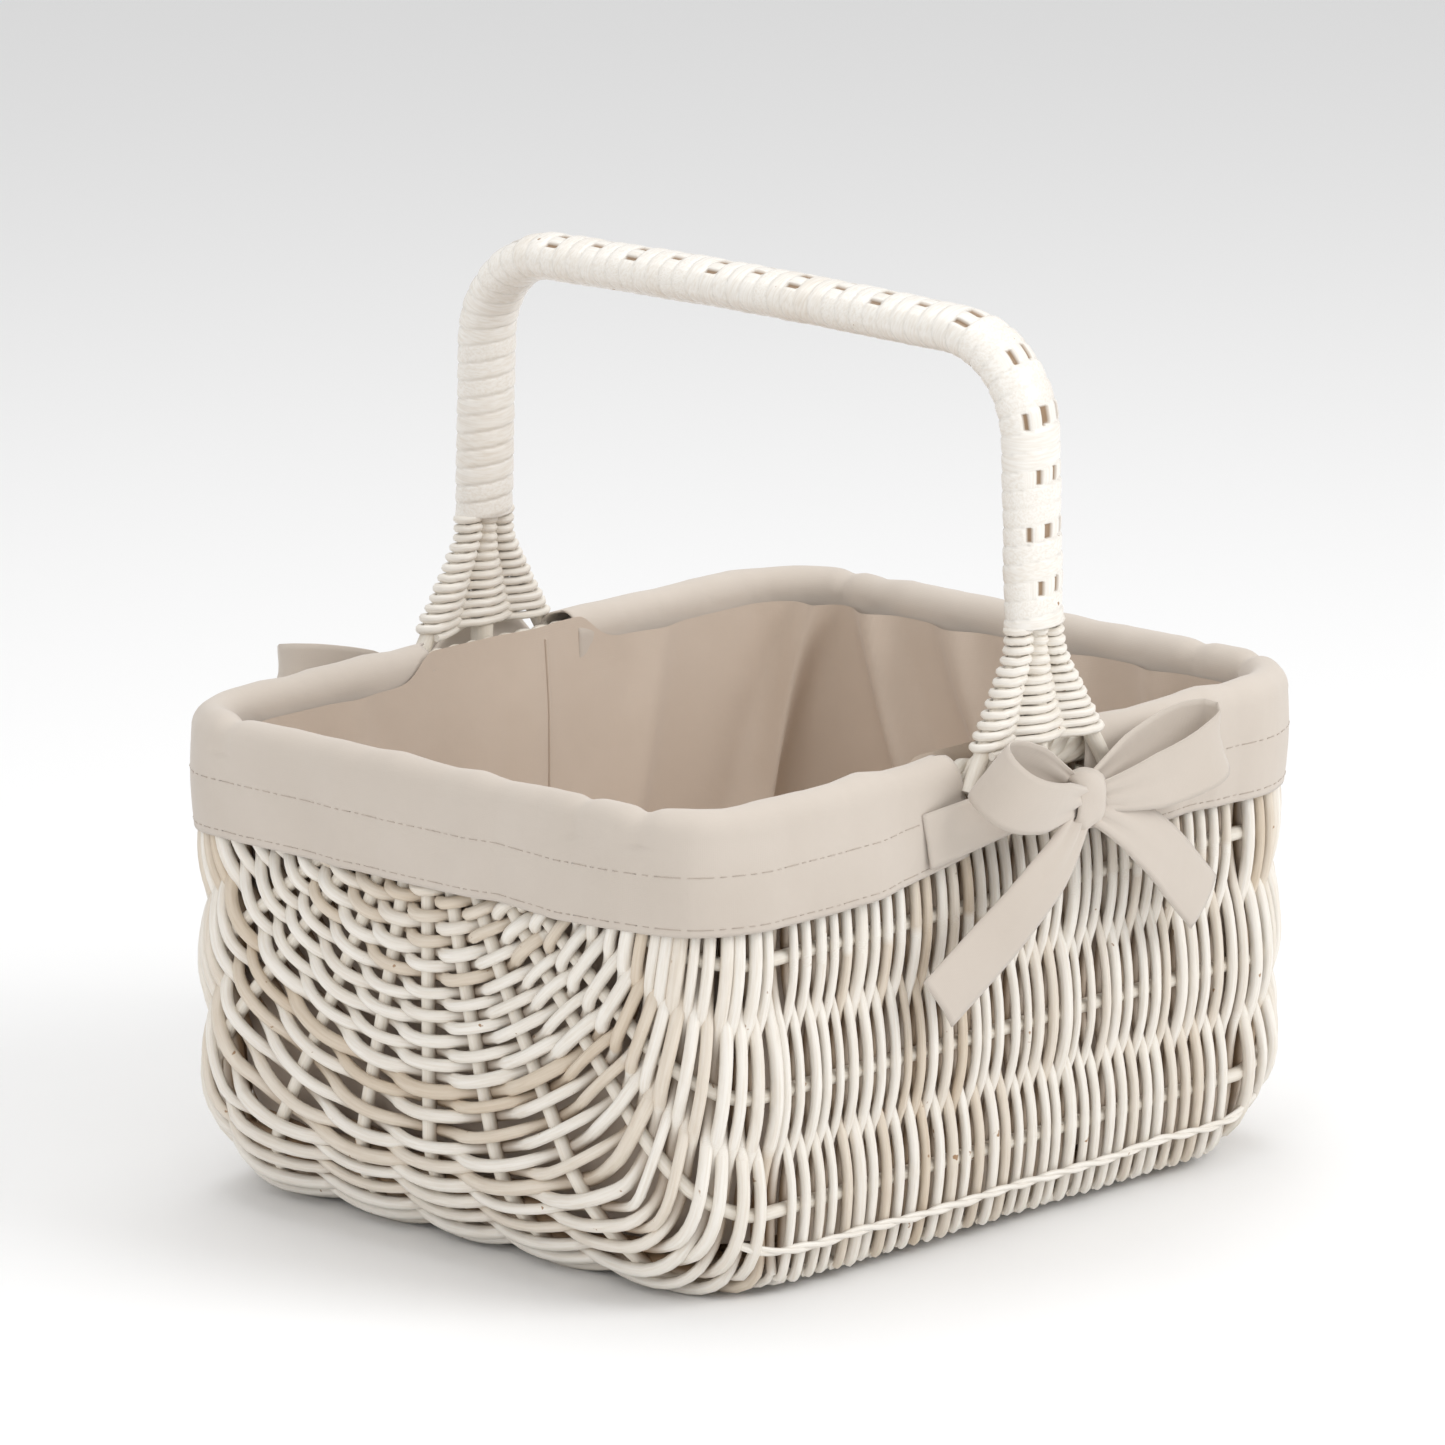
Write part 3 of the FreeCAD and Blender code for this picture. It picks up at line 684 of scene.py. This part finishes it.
def line_outward(points):
    """Outward directions along a line in the plane across the basket."""
    tangent = np.gradient(points, axis=0)
    for _ in range(3):
        tangent[1:-1] = (tangent[:-2] + 2 * tangent[1:-1] + tangent[2:]) / 4
    tangent /= np.linalg.norm(tangent, axis=1, keepdims=True)
    return np.cross(np.array([1.0, 0, 0]), tangent)


# %% [markdown]
# ## Handle rods
#
# One thick rod runs from foot to foot with a thinner one on each side. Under the binding they
# lie together; in the foot the outer two spread out to stand wide on the rim.

# %% Handle rods
MIDDLE_ROD = 5.4 * MM
SIDE_ROD = 3.9 * MM
ROD_NEAR = 9.8 * MM
ROD_WIDE = 36.5 * MM
KNEE_Z = FOOT_HIGH - 9 * MM


def rod_spread(z):
    """Distance of a side rod from the middle rod at a height."""
    fall = np.clip((KNEE_Z - z) / (KNEE_Z - FOOT_LOW), 0, 1.3)
    soft = np.sqrt(fall ** 2 + 0.01) - 0.1
    return ROD_NEAR + (ROD_WIDE - ROD_NEAR) * soft / 0.905


hoop_points, _ = handle_line(ROD_LOW, 160)
hoop_piece = willow_bundle("handle_hoop_rod", [(hoop_points, np.full(160, MIDDLE_ROD), 0.6)], 4)
finish_piece(hoop_piece, paint_rods, "willow_rods", "handle_hoop")
for sign, name in ((-1, "left"), (1, "right")):
    points = hoop_points.copy()
    points[:, 0] = HANDLE_X + sign * rod_spread(points[:, 2])
    piece = willow_bundle("handle_%s_rod" % name, [(points, np.full(160, SIDE_ROD), 0.7)], 3)
    finish_piece(piece, paint_rods, "willow_rods", "handle_rod_" + name)

# %% [markdown]
# ## Handle binding
#
# Split willow, about 8 mm wide and flat, is wound round the rods edge to edge. Modelling it as
# one tube whose skin steps up at each turn keeps the mesh light and still catches light on each
# edge. On the outer face a few strips run lengthwise, over some turns and under others, and
# leave small windows, sunk a little and coloured dark brown as painted shade.

# %% Handle binding
WRAP_WIDE = 30.0 * MM
WRAP_DEEP = 19.6 * MM
WRAP_PITCH = 8.3 * MM
WRAP_STATIONS = 760
WRAP_SIDES = 64
LIST_HALF = math.radians(47)

wrap_line, wrap_run = handle_line(FOOT_HIGH - 2 * MM, WRAP_STATIONS)
wrap_out = line_outward(wrap_line)
turn_count = int(wrap_run[-1] / WRAP_PITCH) + 3
turn_lift = rng.normal(0, 0.16 * MM, turn_count)
turn_tone = rng.uniform(0.25, 1, turn_count)

wrap_bm = bmesh.new()
bmesh.ops.create_grid(wrap_bm, x_segments=WRAP_STATIONS - 1, y_segments=WRAP_SIDES, size=1)
wrap_bm.verts.ensure_lookup_table()
tone_key = wrap_bm.verts.layers.float.new("tone")
grain_key = wrap_bm.verts.layers.float_vector.new("grain")
window_key = wrap_bm.verts.layers.float.new("window_shade")
for vert in wrap_bm.verts:
    station = int(round((vert.co.x + 1) / 2 * (WRAP_STATIONS - 1)))
    angle = (vert.co.y + 1) * math.pi
    run = wrap_run[station]
    phase = run / WRAP_PITCH + angle / (2 * math.pi) + 1
    index = int(phase)
    part = phase - index
    share = angle / (2 * math.pi)
    now, before = index % turn_count, (index - 1) % turn_count
    edge = 1 - abs(2 * part - 1) ** 5
    lift = (0.66 * edge + 0.50 * part) * MM
    lift += turn_lift[now] * (1 - share) + turn_lift[before] * share
    strip_tone = turn_tone[now] * (1 - share) + turn_tone[before] * share
    from_top = abs(angle - math.pi / 2)
    window_shade = 0.0
    on_list = from_top < LIST_HALF and index % 3 == 0
    if on_list:
        column = (angle - math.pi / 2) / LIST_HALF
        slits = (-0.42, 0.42) if (index // 3) % 2 else (-0.90, 0.0, 0.90)
        slit = min(abs(column - at) for at in slits)
        lift -= 0.35 * MM
        if slit < 0.13 and 0.10 < part < 0.90:
            # The window is sunk a little and marked for dark brown painted shade.
            window_shade = 1.0
            lift -= 1.3 * MM
    ring_x = math.cos(angle)
    ring_out = math.sin(angle)
    centre = wrap_line[station]
    wide = WRAP_WIDE / 2 + lift
    deep = WRAP_DEEP / 2 + lift
    co = centre + np.array([1.0, 0, 0]) * ring_x * wide + wrap_out[station] * ring_out * deep
    vert.co = co
    vert[tone_key] = strip_tone if not on_list else 0.55
    grain_seed = strip_tone * 37
    if on_list:
        vert[grain_key] = (run * 20, column * 4, 9.0)
    else:
        round_place = math.cos(angle) * 0.5 + grain_seed
        vert[grain_key] = (round_place, part * 2.5 + math.sin(angle), grain_seed)
    vert[window_key] = window_shade
bmesh.ops.remove_doubles(wrap_bm, verts=wrap_bm.verts, dist=0.00001)
rims = [e for e in wrap_bm.edges if e.is_boundary]
bmesh.ops.holes_fill(wrap_bm, edges=rims, sides=0)
bmesh.ops.recalc_face_normals(wrap_bm, faces=wrap_bm.faces)
for face in wrap_bm.faces:
    face.smooth = True
wrap_mesh = bpy.data.meshes.new("handle_binding")
wrap_bm.to_mesh(wrap_mesh)
wrap_bm.free()
binding = add_object("handle_binding", wrap_mesh)

window_nodes = paint_skein.node_tree.nodes
window_links = paint_skein.node_tree.links
window_fac = add_attribute(window_nodes, "window_shade").outputs["Fac"]
skein_colour = window_nodes["Principled BSDF"].inputs["Base Color"]
painted = skein_colour.links[0].from_socket
# Painted shade: the windows get a flat dark brown.
shaded = mix_over(window_nodes, window_links, window_fac, painted, WINDOW_SHADE_BROWN)
window_links.new(shaded, skein_colour)
finish_piece(binding, paint_skein, "willow_skein", "handle_wrap")
print("binding turns", turn_count, "faces", len(wrap_mesh.polygons))

# %% [markdown]
# ## Handle feet
#
# One thin weaver climbs each foot. It passes in front of and behind the three rods in turn,
# goes round the outer rod and comes back a little higher.

# %% Handle feet
FOOT_WEAVER = 2.0 * MM
PASS_RISE = 2.2 * MM
FOOT_SWING = SIDE_ROD + 1.5 * MM


def foot_weaver(sign):
    """Line of the weaver in the foot at the front (-1) or back (1)."""
    points = []
    passes = int((FOOT_HIGH - FOOT_LOW - 1 * MM) / PASS_RISE)
    for number in range(passes):
        low_z = FOOT_LOW + 1.2 * MM + number * PASS_RISE
        way = 1 if number % 2 == 0 else -1
        for step in range(18):
            part = step / 18
            z = low_z + PASS_RISE * part * 0.3
            across = rod_spread(np.array(z)) * (2 * part - 1) * way
            ratio = across / rod_spread(np.array(z))
            swing = FOOT_SWING * way * math.cos(math.pi * ratio)
            points.append((HANDLE_X + across, sign * leg_out(z) + swing, z))
        for step in range(8):
            part = step / 8
            z = low_z + PASS_RISE * (0.3 + 0.7 * part)
            centre = rod_spread(np.array(z)) * way
            angle = math.pi * part
            points.append((
                HANDLE_X + centre + way * FOOT_SWING * math.sin(angle),
                sign * leg_out(z) - way * FOOT_SWING * math.cos(angle),
                z,
            ))
    return np.array(points, dtype=float)


for sign, name in ((-1, "front"), (1, "back")):
    line = foot_weaver(sign)
    line += rng.normal(0, 0.12 * MM, line.shape)
    radii = FOOT_WEAVER * (1 + slow_noise(len(line), 12, 0.07))
    piece = willow_bundle("handle_foot_%s_weaver" % name, [(line, radii, 0.7)], 2)
    finish_piece(piece, paint_weave, "willow_weave", "handle_foot_" + name)

# %% [markdown]
# ## Cotton cloth
#
# The lining is plain cotton: matt, with a fine thread pattern and soft creases. The thread
# pattern reads each piece's own cloth coordinate, so it follows the folds.

# %% Cotton material
def cotton(name, light, dark):
    """Plain matt cotton between two close tones."""
    material, nodes, links = new_material(name)
    shader = nodes["Principled BSDF"]
    shader.inputs["Roughness"].default_value = 0.92
    shader.inputs["Specular IOR Level"].default_value = 0.2
    shader.inputs["Sheen Weight"].default_value = 0.25
    shader.inputs["Sheen Roughness"].default_value = 0.5
    cloth = add_attribute(nodes, "cloth")
    places = nodes.new("ShaderNodeTexCoord")

    drift = add_noise(nodes, links, places.outputs["Object"], 14, 5)
    colour = add_ramp(nodes, links, drift.outputs["Fac"], [(0.3, dark), (0.7, light)])
    links.new(colour, shader.inputs["Base Color"])

    creases = add_noise(nodes, links, places.outputs["Object"], 38, 3)
    creases.inputs["Distortion"].default_value = 0.6
    crease_bump = add_bump(nodes, links, creases.outputs["Fac"], 0.22, 0.002)

    heights = []
    for direction in ("X", "Y"):
        threads = nodes.new("ShaderNodeTexWave")
        threads.bands_direction = direction
        threads.inputs["Scale"].default_value = 420
        threads.inputs["Distortion"].default_value = 1.2
        links.new(cloth.outputs["Vector"], threads.inputs["Vector"])
        heights.append(threads)
    woven = nodes.new("ShaderNodeMath")
    woven.operation = "MULTIPLY"
    links.new(heights[0].outputs["Fac"], woven.inputs[0])
    links.new(heights[1].outputs["Fac"], woven.inputs[1])
    thread_bump = add_bump(nodes, links, woven.outputs["Value"], 0.15, 0.0002)
    links.new(crease_bump.outputs["Normal"], thread_bump.inputs["Normal"])
    links.new(thread_bump.outputs["Normal"], shader.inputs["Normal"])
    return material


cuff_cotton = cotton("cuff cotton", (0.61, 0.545, 0.48), (0.565, 0.50, 0.435))
lining_cotton = cotton("lining cotton", (0.63, 0.535, 0.45), (0.58, 0.485, 0.40))


def cloth_surface(name, rows, columns, place, closed=False):
    """Grid of cloth; place(u, v) gives a point and its flat cloth position."""
    bm = bmesh.new()
    bmesh.ops.create_grid(bm, x_segments=rows, y_segments=columns, size=0.5)
    cloth_key = bm.verts.layers.float_vector.new("cloth")
    for vert in bm.verts:
        u, v = vert.co.x + 0.5, vert.co.y + 0.5
        point, flat = place(u, v)
        vert.co = point
        vert[cloth_key] = (flat[0], flat[1], 0)
    if closed:
        bmesh.ops.remove_doubles(bm, verts=bm.verts, dist=0.00002)
    for face in bm.faces:
        face.smooth = True
    mesh = bpy.data.meshes.new(name)
    bm.to_mesh(mesh)
    bm.free()
    return mesh


def thicken_cloth(piece, thickness):
    modifier = piece.modifiers.new("cloth thickness", "SOLIDIFY")
    modifier.thickness = thickness
    modifier.offset = 0


# %% [markdown]
# ## Cuffs
#
# Each half of the lining's edge is turned over the rim roll and hangs outside as a cuff with a
# doubled hem. The grid's one direction follows the rim from foot to foot round an end; the
# other climbs inside, rolls over the top and drops to the hem. A little slow noise and a few
# tucks at the corners stop it looking pressed.

# %% Cuffs
CUFF_GAP = 48 * MM
HEM_Z = 173 * MM
ROLL = 9.6 * MM
CUFF_THICK = 0.9 * MM
CUFF_STEPS = 260
CUFF_RISE = 46


def cuff_path(side):
    """Points and outward directions from the front cuff end round one end to the back."""
    places, ways = [], []
    a, b, r = RIM_HALF_L, RIM_HALF_W, RIM_CORNER
    straight = a - r - CUFF_GAP
    arc = math.pi / 2 * r
    across = 2 * (b - r)
    total = 2 * straight + 2 * arc + across
    for s in np.linspace(0, total, CUFF_STEPS + 1):
        if s < straight:
            p, n = (CUFF_GAP + s, -b), (0, -1)
        elif s < straight + arc:
            w = (s - straight) / r
            n = (math.sin(w), -math.cos(w))
            p = (a - r + r * n[0], -(b - r) + r * n[1])
        elif s < straight + arc + across:
            p, n = (a, -(b - r) + s - straight - arc), (1, 0)
        elif s < straight + 2 * arc + across:
            w = (s - straight - arc - across) / r
            n = (math.cos(w), math.sin(w))
            p = (a - r + r * n[0], b - r + r * n[1])
        else:
            p, n = (a - r - (s - total + straight), b), (0, 1)
        places.append((side * p[0], p[1]))
        ways.append((side * n[0], n[1]))
    return np.array(places), np.array(ways), total


def cuff_profile(v, drop):
    """Distance outward from the roll's centre and height above it, inside leg to hem."""
    inside, over = 11 * MM, math.pi * ROLL
    outside = drop
    total = inside + over + outside
    s = v * total
    if s < inside:
        return -ROLL, -inside + s, s
    if s < inside + over:
        angle = (s - inside) / ROLL
        return -ROLL * math.cos(angle), ROLL * math.sin(angle) * 1.12, s
    below = s - inside - over
    belly = 1.2 * MM * math.sin(math.pi * min(1, below / outside))
    return ROLL + belly - 0.8 * MM * (below / outside), -below, s


CORNER_TUCKS = [(0.28, 1.0), (0.335, 0.7), (0.70, 0.8)]
cuffs = {}
for side, name in ((-1, "left"), (1, "right")):
    places, ways, cuff_length = cuff_path(side)
    wobble = slow_noise(CUFF_STEPS + 1, 9, 0.55 * MM)
    hem_wobble = slow_noise(CUFF_STEPS + 1, 14, 1.0 * MM)
    roll_wobble = slow_noise(CUFF_STEPS + 1, 7, 0.05)
    fine_wobble = slow_noise(CUFF_STEPS + 1, 3, 0.25 * MM)

    def place(
        u, v, side=side, places=places, ways=ways, cuff_length=cuff_length, wobble=wobble,
        hem_wobble=hem_wobble, roll_wobble=roll_wobble, fine_wobble=fine_wobble,
    ):
        i = int(round(u * CUFF_STEPS))
        run = u * cuff_length
        from_end = min(run, cuff_length - run)
        rise = 9 * MM * math.exp(-from_end / (24 * MM))
        slant = 12 * MM * v * math.exp(-from_end / (10 * MM))
        drop = RIM_Z - HEM_Z + hem_wobble[i] - rise
        out, up, flat_v = cuff_profile(v, drop)
        swell = 1 + roll_wobble[i]
        for at, size_of in CORNER_TUCKS:
            near = math.exp(-((u - at) * cuff_length / (5 * MM)) ** 2)
            swell -= 0.22 * size_of * near * (1 if up > -6 * MM else 0.2)
        hang = max(0.0, -up) / (44 * MM)
        out = out * swell + wobble[i] * (0.4 + hang) + fine_wobble[i] * (1 if up > 0 else 0.4)
        up = up * (swell if up > 0 else 1)
        p, n = places[i], ways[i]
        shift = -side * slant * (1 if out > 0 else 0)
        point = (
            p[0] + n[0] * out + (shift if abs(n[1]) > 0.5 else 0),
            p[1] + n[1] * out,
            RIM_Z + up,
        )
        return point, (run, flat_v)

    mesh = cloth_surface("cuff_%s_cloth" % name, CUFF_STEPS, CUFF_RISE, place)
    piece = add_object("cuff_%s_cloth" % name, mesh)
    thicken_cloth(piece, CUFF_THICK)
    finish_piece(piece, cuff_cotton, "cuff_cloth", "cuff_" + name)
    cuffs[name] = (piece, place, cuff_length)

# %% [markdown]
# ## Lining bag
#
# The bag hangs inside the ribs from the rim and lies on the floor ribs. It is cut a little
# large, so it rounds off the bottom corners and falls in a few long slanting folds.

# %% Lining bag
BAG_STEPS = 420
BAG_RISE = 70
BAG_TOP = 214 * MM
BAG_FLOOR = 21 * MM
BAG_DEPTH = 18.8 * MM
BAG_WALL_SHARE = 0.62
# Folds as (place round the bag at the top, drift on the way down, width, height).
BAG_FOLDS = [
    (0.470, 0.065, 0.009, 9.0), (0.445, -0.070, 0.010, 8.0), (0.405, -0.085, 0.012, 7.0),
    (0.350, -0.055, 0.011, 6.0), (0.310, -0.02, 0.010, 5.0), (0.545, 0.045, 0.013, 4.0),
    (0.610, 0.020, 0.015, 3.0), (0.700, 0.010, 0.012, 3.0), (0.755, -0.02, 0.010, 6.0),
    (0.840, 0.030, 0.012, 5.0), (0.920, -0.03, 0.014, 4.0), (0.020, 0.02, 0.014, 4.0),
    (0.140, 0.030, 0.013, 4.0), (0.225, -0.02, 0.010, 5.0),
]
bag_noise = slow_noise(BAG_STEPS + 1, 16, 0.8 * MM)


def bag_place(u, v):
    """u runs round the bag, v from the rim down the wall and in over the floor."""
    down = min(1.0, v / BAG_WALL_SHARE)
    z = BAG_TOP - (BAG_TOP - BAG_FLOOR) * (math.sin(down * math.pi / 2) ** 0.9 * 0.25 + down * 0.75)
    turn = max(0.0, 1 - z / TURN_HEIGHT)
    soft_turn = max(0.0, 1 - z / (TURN_HEIGHT * 1.2))
    half_l = HALF_LENGTH - END_INSET * turn ** 2 - BAG_DEPTH - 13 * MM * soft_turn ** 2
    half_w = HALF_WIDTH - SIDE_INSET * turn ** 2 - BAG_DEPTH - 12 * MM * soft_turn ** 2
    corner = 34 * MM + 12 * MM * soft_turn
    run = u * rounded_length(half_l, half_w, corner)
    p, n = rounded_place(run, half_l, half_w, corner)
    ripple = abs(bag_noise[int(round(u * BAG_STEPS)) % BAG_STEPS])
    inward = ripple * math.sin(math.pi * min(1, down * 1.05))
    for at, drift, width, height in BAG_FOLDS:
        away = (u - at - drift * down + 0.5) % 1 - 0.5
        fade = math.sin(math.pi * min(1, 0.12 + down * 0.9)) ** 0.7
        inward += 2.0 * height * MM * fade * math.exp(-(away / (0.72 * width)) ** 2)
    along_side = 1 if abs(n[1]) > 0.5 else 0
    at_foot = math.exp(-(max(0.0, abs(p[0]) - 48 * MM) / (13 * MM)) ** 2) * along_side
    near_top = max(0.0, 1 - down / 0.10)
    z += 13 * MM * at_foot * near_top
    p = p - n * inward + n * 2 * MM * at_foot * near_top
    if v > BAG_WALL_SHARE:
        inner = (v - BAG_WALL_SHARE) / (1 - BAG_WALL_SHARE)
        p = p * (1 - inner)
        z = BAG_FLOOR + 1.2 * MM * math.sin(inner * 9) * (1 - inner)
    return (p[0], p[1], z), (u * 1.3, v * 0.4)


bag_mesh = cloth_surface("lining_bag_cloth", BAG_STEPS, BAG_RISE, bag_place, closed=True)
bag = add_object("lining_bag_cloth", bag_mesh)
finish_piece(bag, lining_cotton, "lining_cloth", "lining_bag")

# %% [markdown]
# ## Sewing
#
# Two lines of stitches run round each cuff: one just above the hem and one that closes the
# casing for the ribbons. Each stitch is a tiny darker thread with a short gap to the next, set
# on the cuff by the same rule that shaped it. A felled seam runs down inside the bag.

# %% Stitches and seam
STITCH = 2.6 * MM
STITCH_GAP = 1.3 * MM
THREAD = 0.28 * MM
HEM_STITCH = 3.5 * MM
CASING_STITCH = 27 * MM
STITCH_MARGIN = 3 * MM
thread_cotton = cotton("thread", (0.50, 0.43, 0.36), (0.46, 0.39, 0.33))


def stitch_line(place, length, v, margin):
    """Threads along a cuff at a fixed place between its inside edge and its hem."""
    rods = []
    run = margin
    while run + STITCH < length - margin:
        ends = []
        for at in (run, run + STITCH / 2, run + STITCH):
            u = at / length
            here = np.array(place(u, v)[0])
            beside = np.array(place(min(1, u + 0.004), v)[0]) - np.array(place(u - 0.004, v)[0])
            lower = np.array(place(u, min(1, v + 0.01))[0]) - np.array(place(u, v - 0.01)[0])
            out = np.cross(beside, lower)
            out /= np.linalg.norm(out)
            if out[0] * here[0] / 0.2 ** 2 + out[1] * here[1] / 0.16 ** 2 < 0:
                out = -out
            ends.append(here + out * 0.55 * MM)
        rods.append((np.array(ends), np.array([0.6, 1, 0.6]) * THREAD, 0.5))
        run += STITCH + STITCH_GAP
    return rods


cuff_rise_length = 11 * MM + math.pi * ROLL + RIM_Z - HEM_Z
for name, (_, place, length) in cuffs.items():
    rods = []
    for above_hem in (HEM_STITCH, CASING_STITCH):
        rods += stitch_line(place, length, 1 - above_hem / cuff_rise_length, STITCH_MARGIN)
    stitches = willow_bundle("cuff_%s_stitches" % name, rods, 0)
    finish_piece(stitches, thread_cotton, "cuff_cloth")

seam_u = min(np.linspace(0.5, 0.73, 300), key=lambda u: abs(bag_place(u, 0.3)[0][0] - 23 * MM))
seam_line = np.array([bag_place(seam_u, v)[0] for v in np.linspace(0.01, 0.60, 60)])
seam_line[:, 1] -= 0.4 * MM
seam = willow_bundle("lining_seam", [(seam_line, np.full(60, 0.75 * MM), 0.5)], 1)
finish_piece(seam, lining_cotton, "lining_cloth")

# %% [markdown]
# ## Bows
#
# Two ribbons come out of the cuff casings and are tied in a bow beside each foot. A ribbon is
# a strip that follows a line, wide in the middle of each loop and pinched at the knot.

# %% Ribbons
CUFF_FACE = 170.5 * MM
RIBBON = 28 * MM
RIBBON_THICK = 0.8 * MM


def smooth_line(points, count):
    """Smooth line through a few points, evenly spaced."""
    data = bpy.data.curves.new("line", "CURVE")
    data.dimensions = "3D"
    spline = data.splines.new("NURBS")
    spline.points.add(len(points) - 1)
    for target_point, source in zip(spline.points, points):
        target_point.co = (*source, 1)
    spline.order_u = 3
    spline.use_endpoint_u = True
    spline.resolution_u = 24
    holder = bpy.data.objects.new("line", data)
    mesh = bpy.data.meshes.new_from_object(holder)
    dense = np.array([v.co[:] for v in mesh.vertices])
    bpy.data.objects.remove(holder)
    bpy.data.curves.remove(data)
    bpy.data.meshes.remove(mesh)
    run = np.concatenate([[0], np.cumsum(np.linalg.norm(np.diff(dense, axis=0), axis=1))])
    wanted = np.linspace(0, run[-1], count)
    return np.stack([np.interp(wanted, run, dense[:, k]) for k in range(3)], axis=1), run[-1]


def ribbon_strip(bm, points, ways, widths, start, crown=1.5):
    """Add one strip to a mesh: points, width directions and widths at a few stations."""
    count = 40
    local = [(p[0] * MM, -(CUFF_FACE + p[1] * MM), p[2] * MM) for p in points]
    line, length = smooth_line(local, count)
    at = np.linspace(0, 1, len(widths))
    width = np.interp(np.linspace(0, 1, count), at, widths) * MM
    way_at = np.linspace(0, 1, len(ways))
    way = np.stack([
        np.interp(np.linspace(0, 1, count), way_at, [w[k] for w in ways]) for k in range(3)
    ], axis=1)
    ahead = np.gradient(line, axis=0)
    ahead /= np.linalg.norm(ahead, axis=1, keepdims=True)
    way -= ahead * np.sum(way * ahead, axis=1, keepdims=True)
    way /= np.linalg.norm(way, axis=1, keepdims=True)
    face_out = np.cross(ahead, way)
    made = bmesh.ops.create_grid(bm, x_segments=count - 1, y_segments=10, size=0.5)
    cloth_key = bm.verts.layers.float_vector.get("cloth")
    for vert in made["verts"]:
        i = int(round((vert.co.x + 0.5) * (count - 1)))
        v = vert.co.y
        pinch = 1 - width[i] / RIBBON
        fold = math.sin((v + 0.5) * math.pi * 5) * pinch * 2.2 * MM
        bow = crown * MM * (1 - 4 * v * v)
        vert.co = line[i] + way[i] * (v * width[i]) + face_out[i] * (fold + bow)
        vert[cloth_key] = (start + length * i / (count - 1), v * RIBBON, 0)
    return length


KNOT = (22, 14, 200)
LEFT_RIBBON = [
    # band from the left cuff's casing
    ([(-66, 0.5, 194), (-46, 5, 198), (-22, 9, 202), (4, 10, 202), (20, 11, 200)],
     [(0, 0, 1)], [26, 24, 20, 13], 0.6),
    # loop, out to the left and a little up
    ([(22, 13, 202), (4, 11, 212), (-18, 10, 222), (-40, 13, 226), (-49, 24, 222),
      (-42, 34, 212), (-18, 31, 205), (6, 22, 202), (22, 17, 200)],
     [(0.42, -0.30, 0.86), (0.5, -0.45, 0.8), (0.35, -0.2, 0.9)], [11, 25, 28, 28, 26, 12], 0.8),
    # tail, down and to the left
    ([(22, 16, 198), (4, 22, 182), (-21, 21, 162), (-45, 16, 142), (-71, 12, 123)],
     [(0.66, -0.1, -0.74)], [12, 24, 28, 28], 1.6),
]
RIGHT_RIBBON = [
    ([(88, 0.5, 194), (66, 5, 197), (42, 9, 200), (24, 11, 200)], [(0, 0, 1)], [26, 24, 16, 12], 0.6),
    ([(24, 13, 202), (44, 12, 208), (68, 11, 214), (92, 12, 218), (106, 20, 219),
      (102, 31, 214), (80, 32, 208), (48, 26, 202), (26, 17, 200)],
     [(-0.25, 0, 0.96), (-0.2, 0.1, 0.97), (-0.28, 0, 0.95)], [11, 24, 29, 30, 26, 12], 0.8),
    ([(24, 16, 197), (44, 23, 187), (68, 22, 170), (90, 16, 152), (110, 11, 136)],
     [(0.6, 0, 0.8)], [12, 25, 28, 28], 1.6),
]


def knot_wrap(bm):
    """Short band drawn tight round the middle of the bow."""
    made = bmesh.ops.create_grid(bm, x_segments=32, y_segments=10, size=0.5)
    cloth_key = bm.verts.layers.float_vector.get("cloth")
    for vert in made["verts"]:
        angle = (vert.co.x + 0.5) * 2 * math.pi
        v = vert.co.y * 2
        fullness = 1 - 0.28 * v * v + 0.05 * math.sin(angle * 3 + v * 4)
        tall = 13.5 * fullness
        deep = 9.0 * fullness
        power = 0.75
        c, s = math.cos(angle), math.sin(angle)
        up = math.copysign(abs(s) ** power, s) * tall
        out = math.copysign(abs(c) ** power, c) * deep
        x = KNOT[0] + v * 9.5 + 0.12 * up
        vert.co = (x * MM, -(CUFF_FACE + (KNOT[1] + out) * MM), (KNOT[2] + up) * MM)
        vert[cloth_key] = (angle * 0.012, v * 0.01, 0)
    bmesh.ops.remove_doubles(bm, verts=made["verts"], dist=0.00002)


for place_name, half_turn in (("front", 0), ("back", math.pi)):
    for ribbon_name, strips in (("left", LEFT_RIBBON), ("right", RIGHT_RIBBON)):
        bm = bmesh.new()
        bm.verts.layers.float_vector.new("cloth")
        run = 0.0
        for points, ways, widths, crown in strips:
            run += ribbon_strip(bm, points, ways, widths, run, crown)
        if ribbon_name == "right":
            knot_wrap(bm)
        turned = Matrix.Rotation(half_turn, 3, "Z")
        bmesh.ops.rotate(bm, verts=bm.verts, cent=(0, 0, 0), matrix=turned)
        for face in bm.faces:
            face.smooth = True
        area = sum(face.calc_area() for face in bm.faces)
        shown = ribbon_name
        if place_name == "back":
            shown = "right" if ribbon_name == "left" else "left"
        name = "tie_%s_%s" % (place_name, shown)
        mesh = bpy.data.meshes.new(name + "_ribbon")
        bm.to_mesh(mesh)
        bm.free()
        piece = add_object(name + "_ribbon", mesh)
        thicken_cloth(piece, RIBBON_THICK)
        finish_piece(piece, cuff_cotton, "cuff_cloth", name)
        print(name, "length", round(run, 3), "area", round(area, 5))
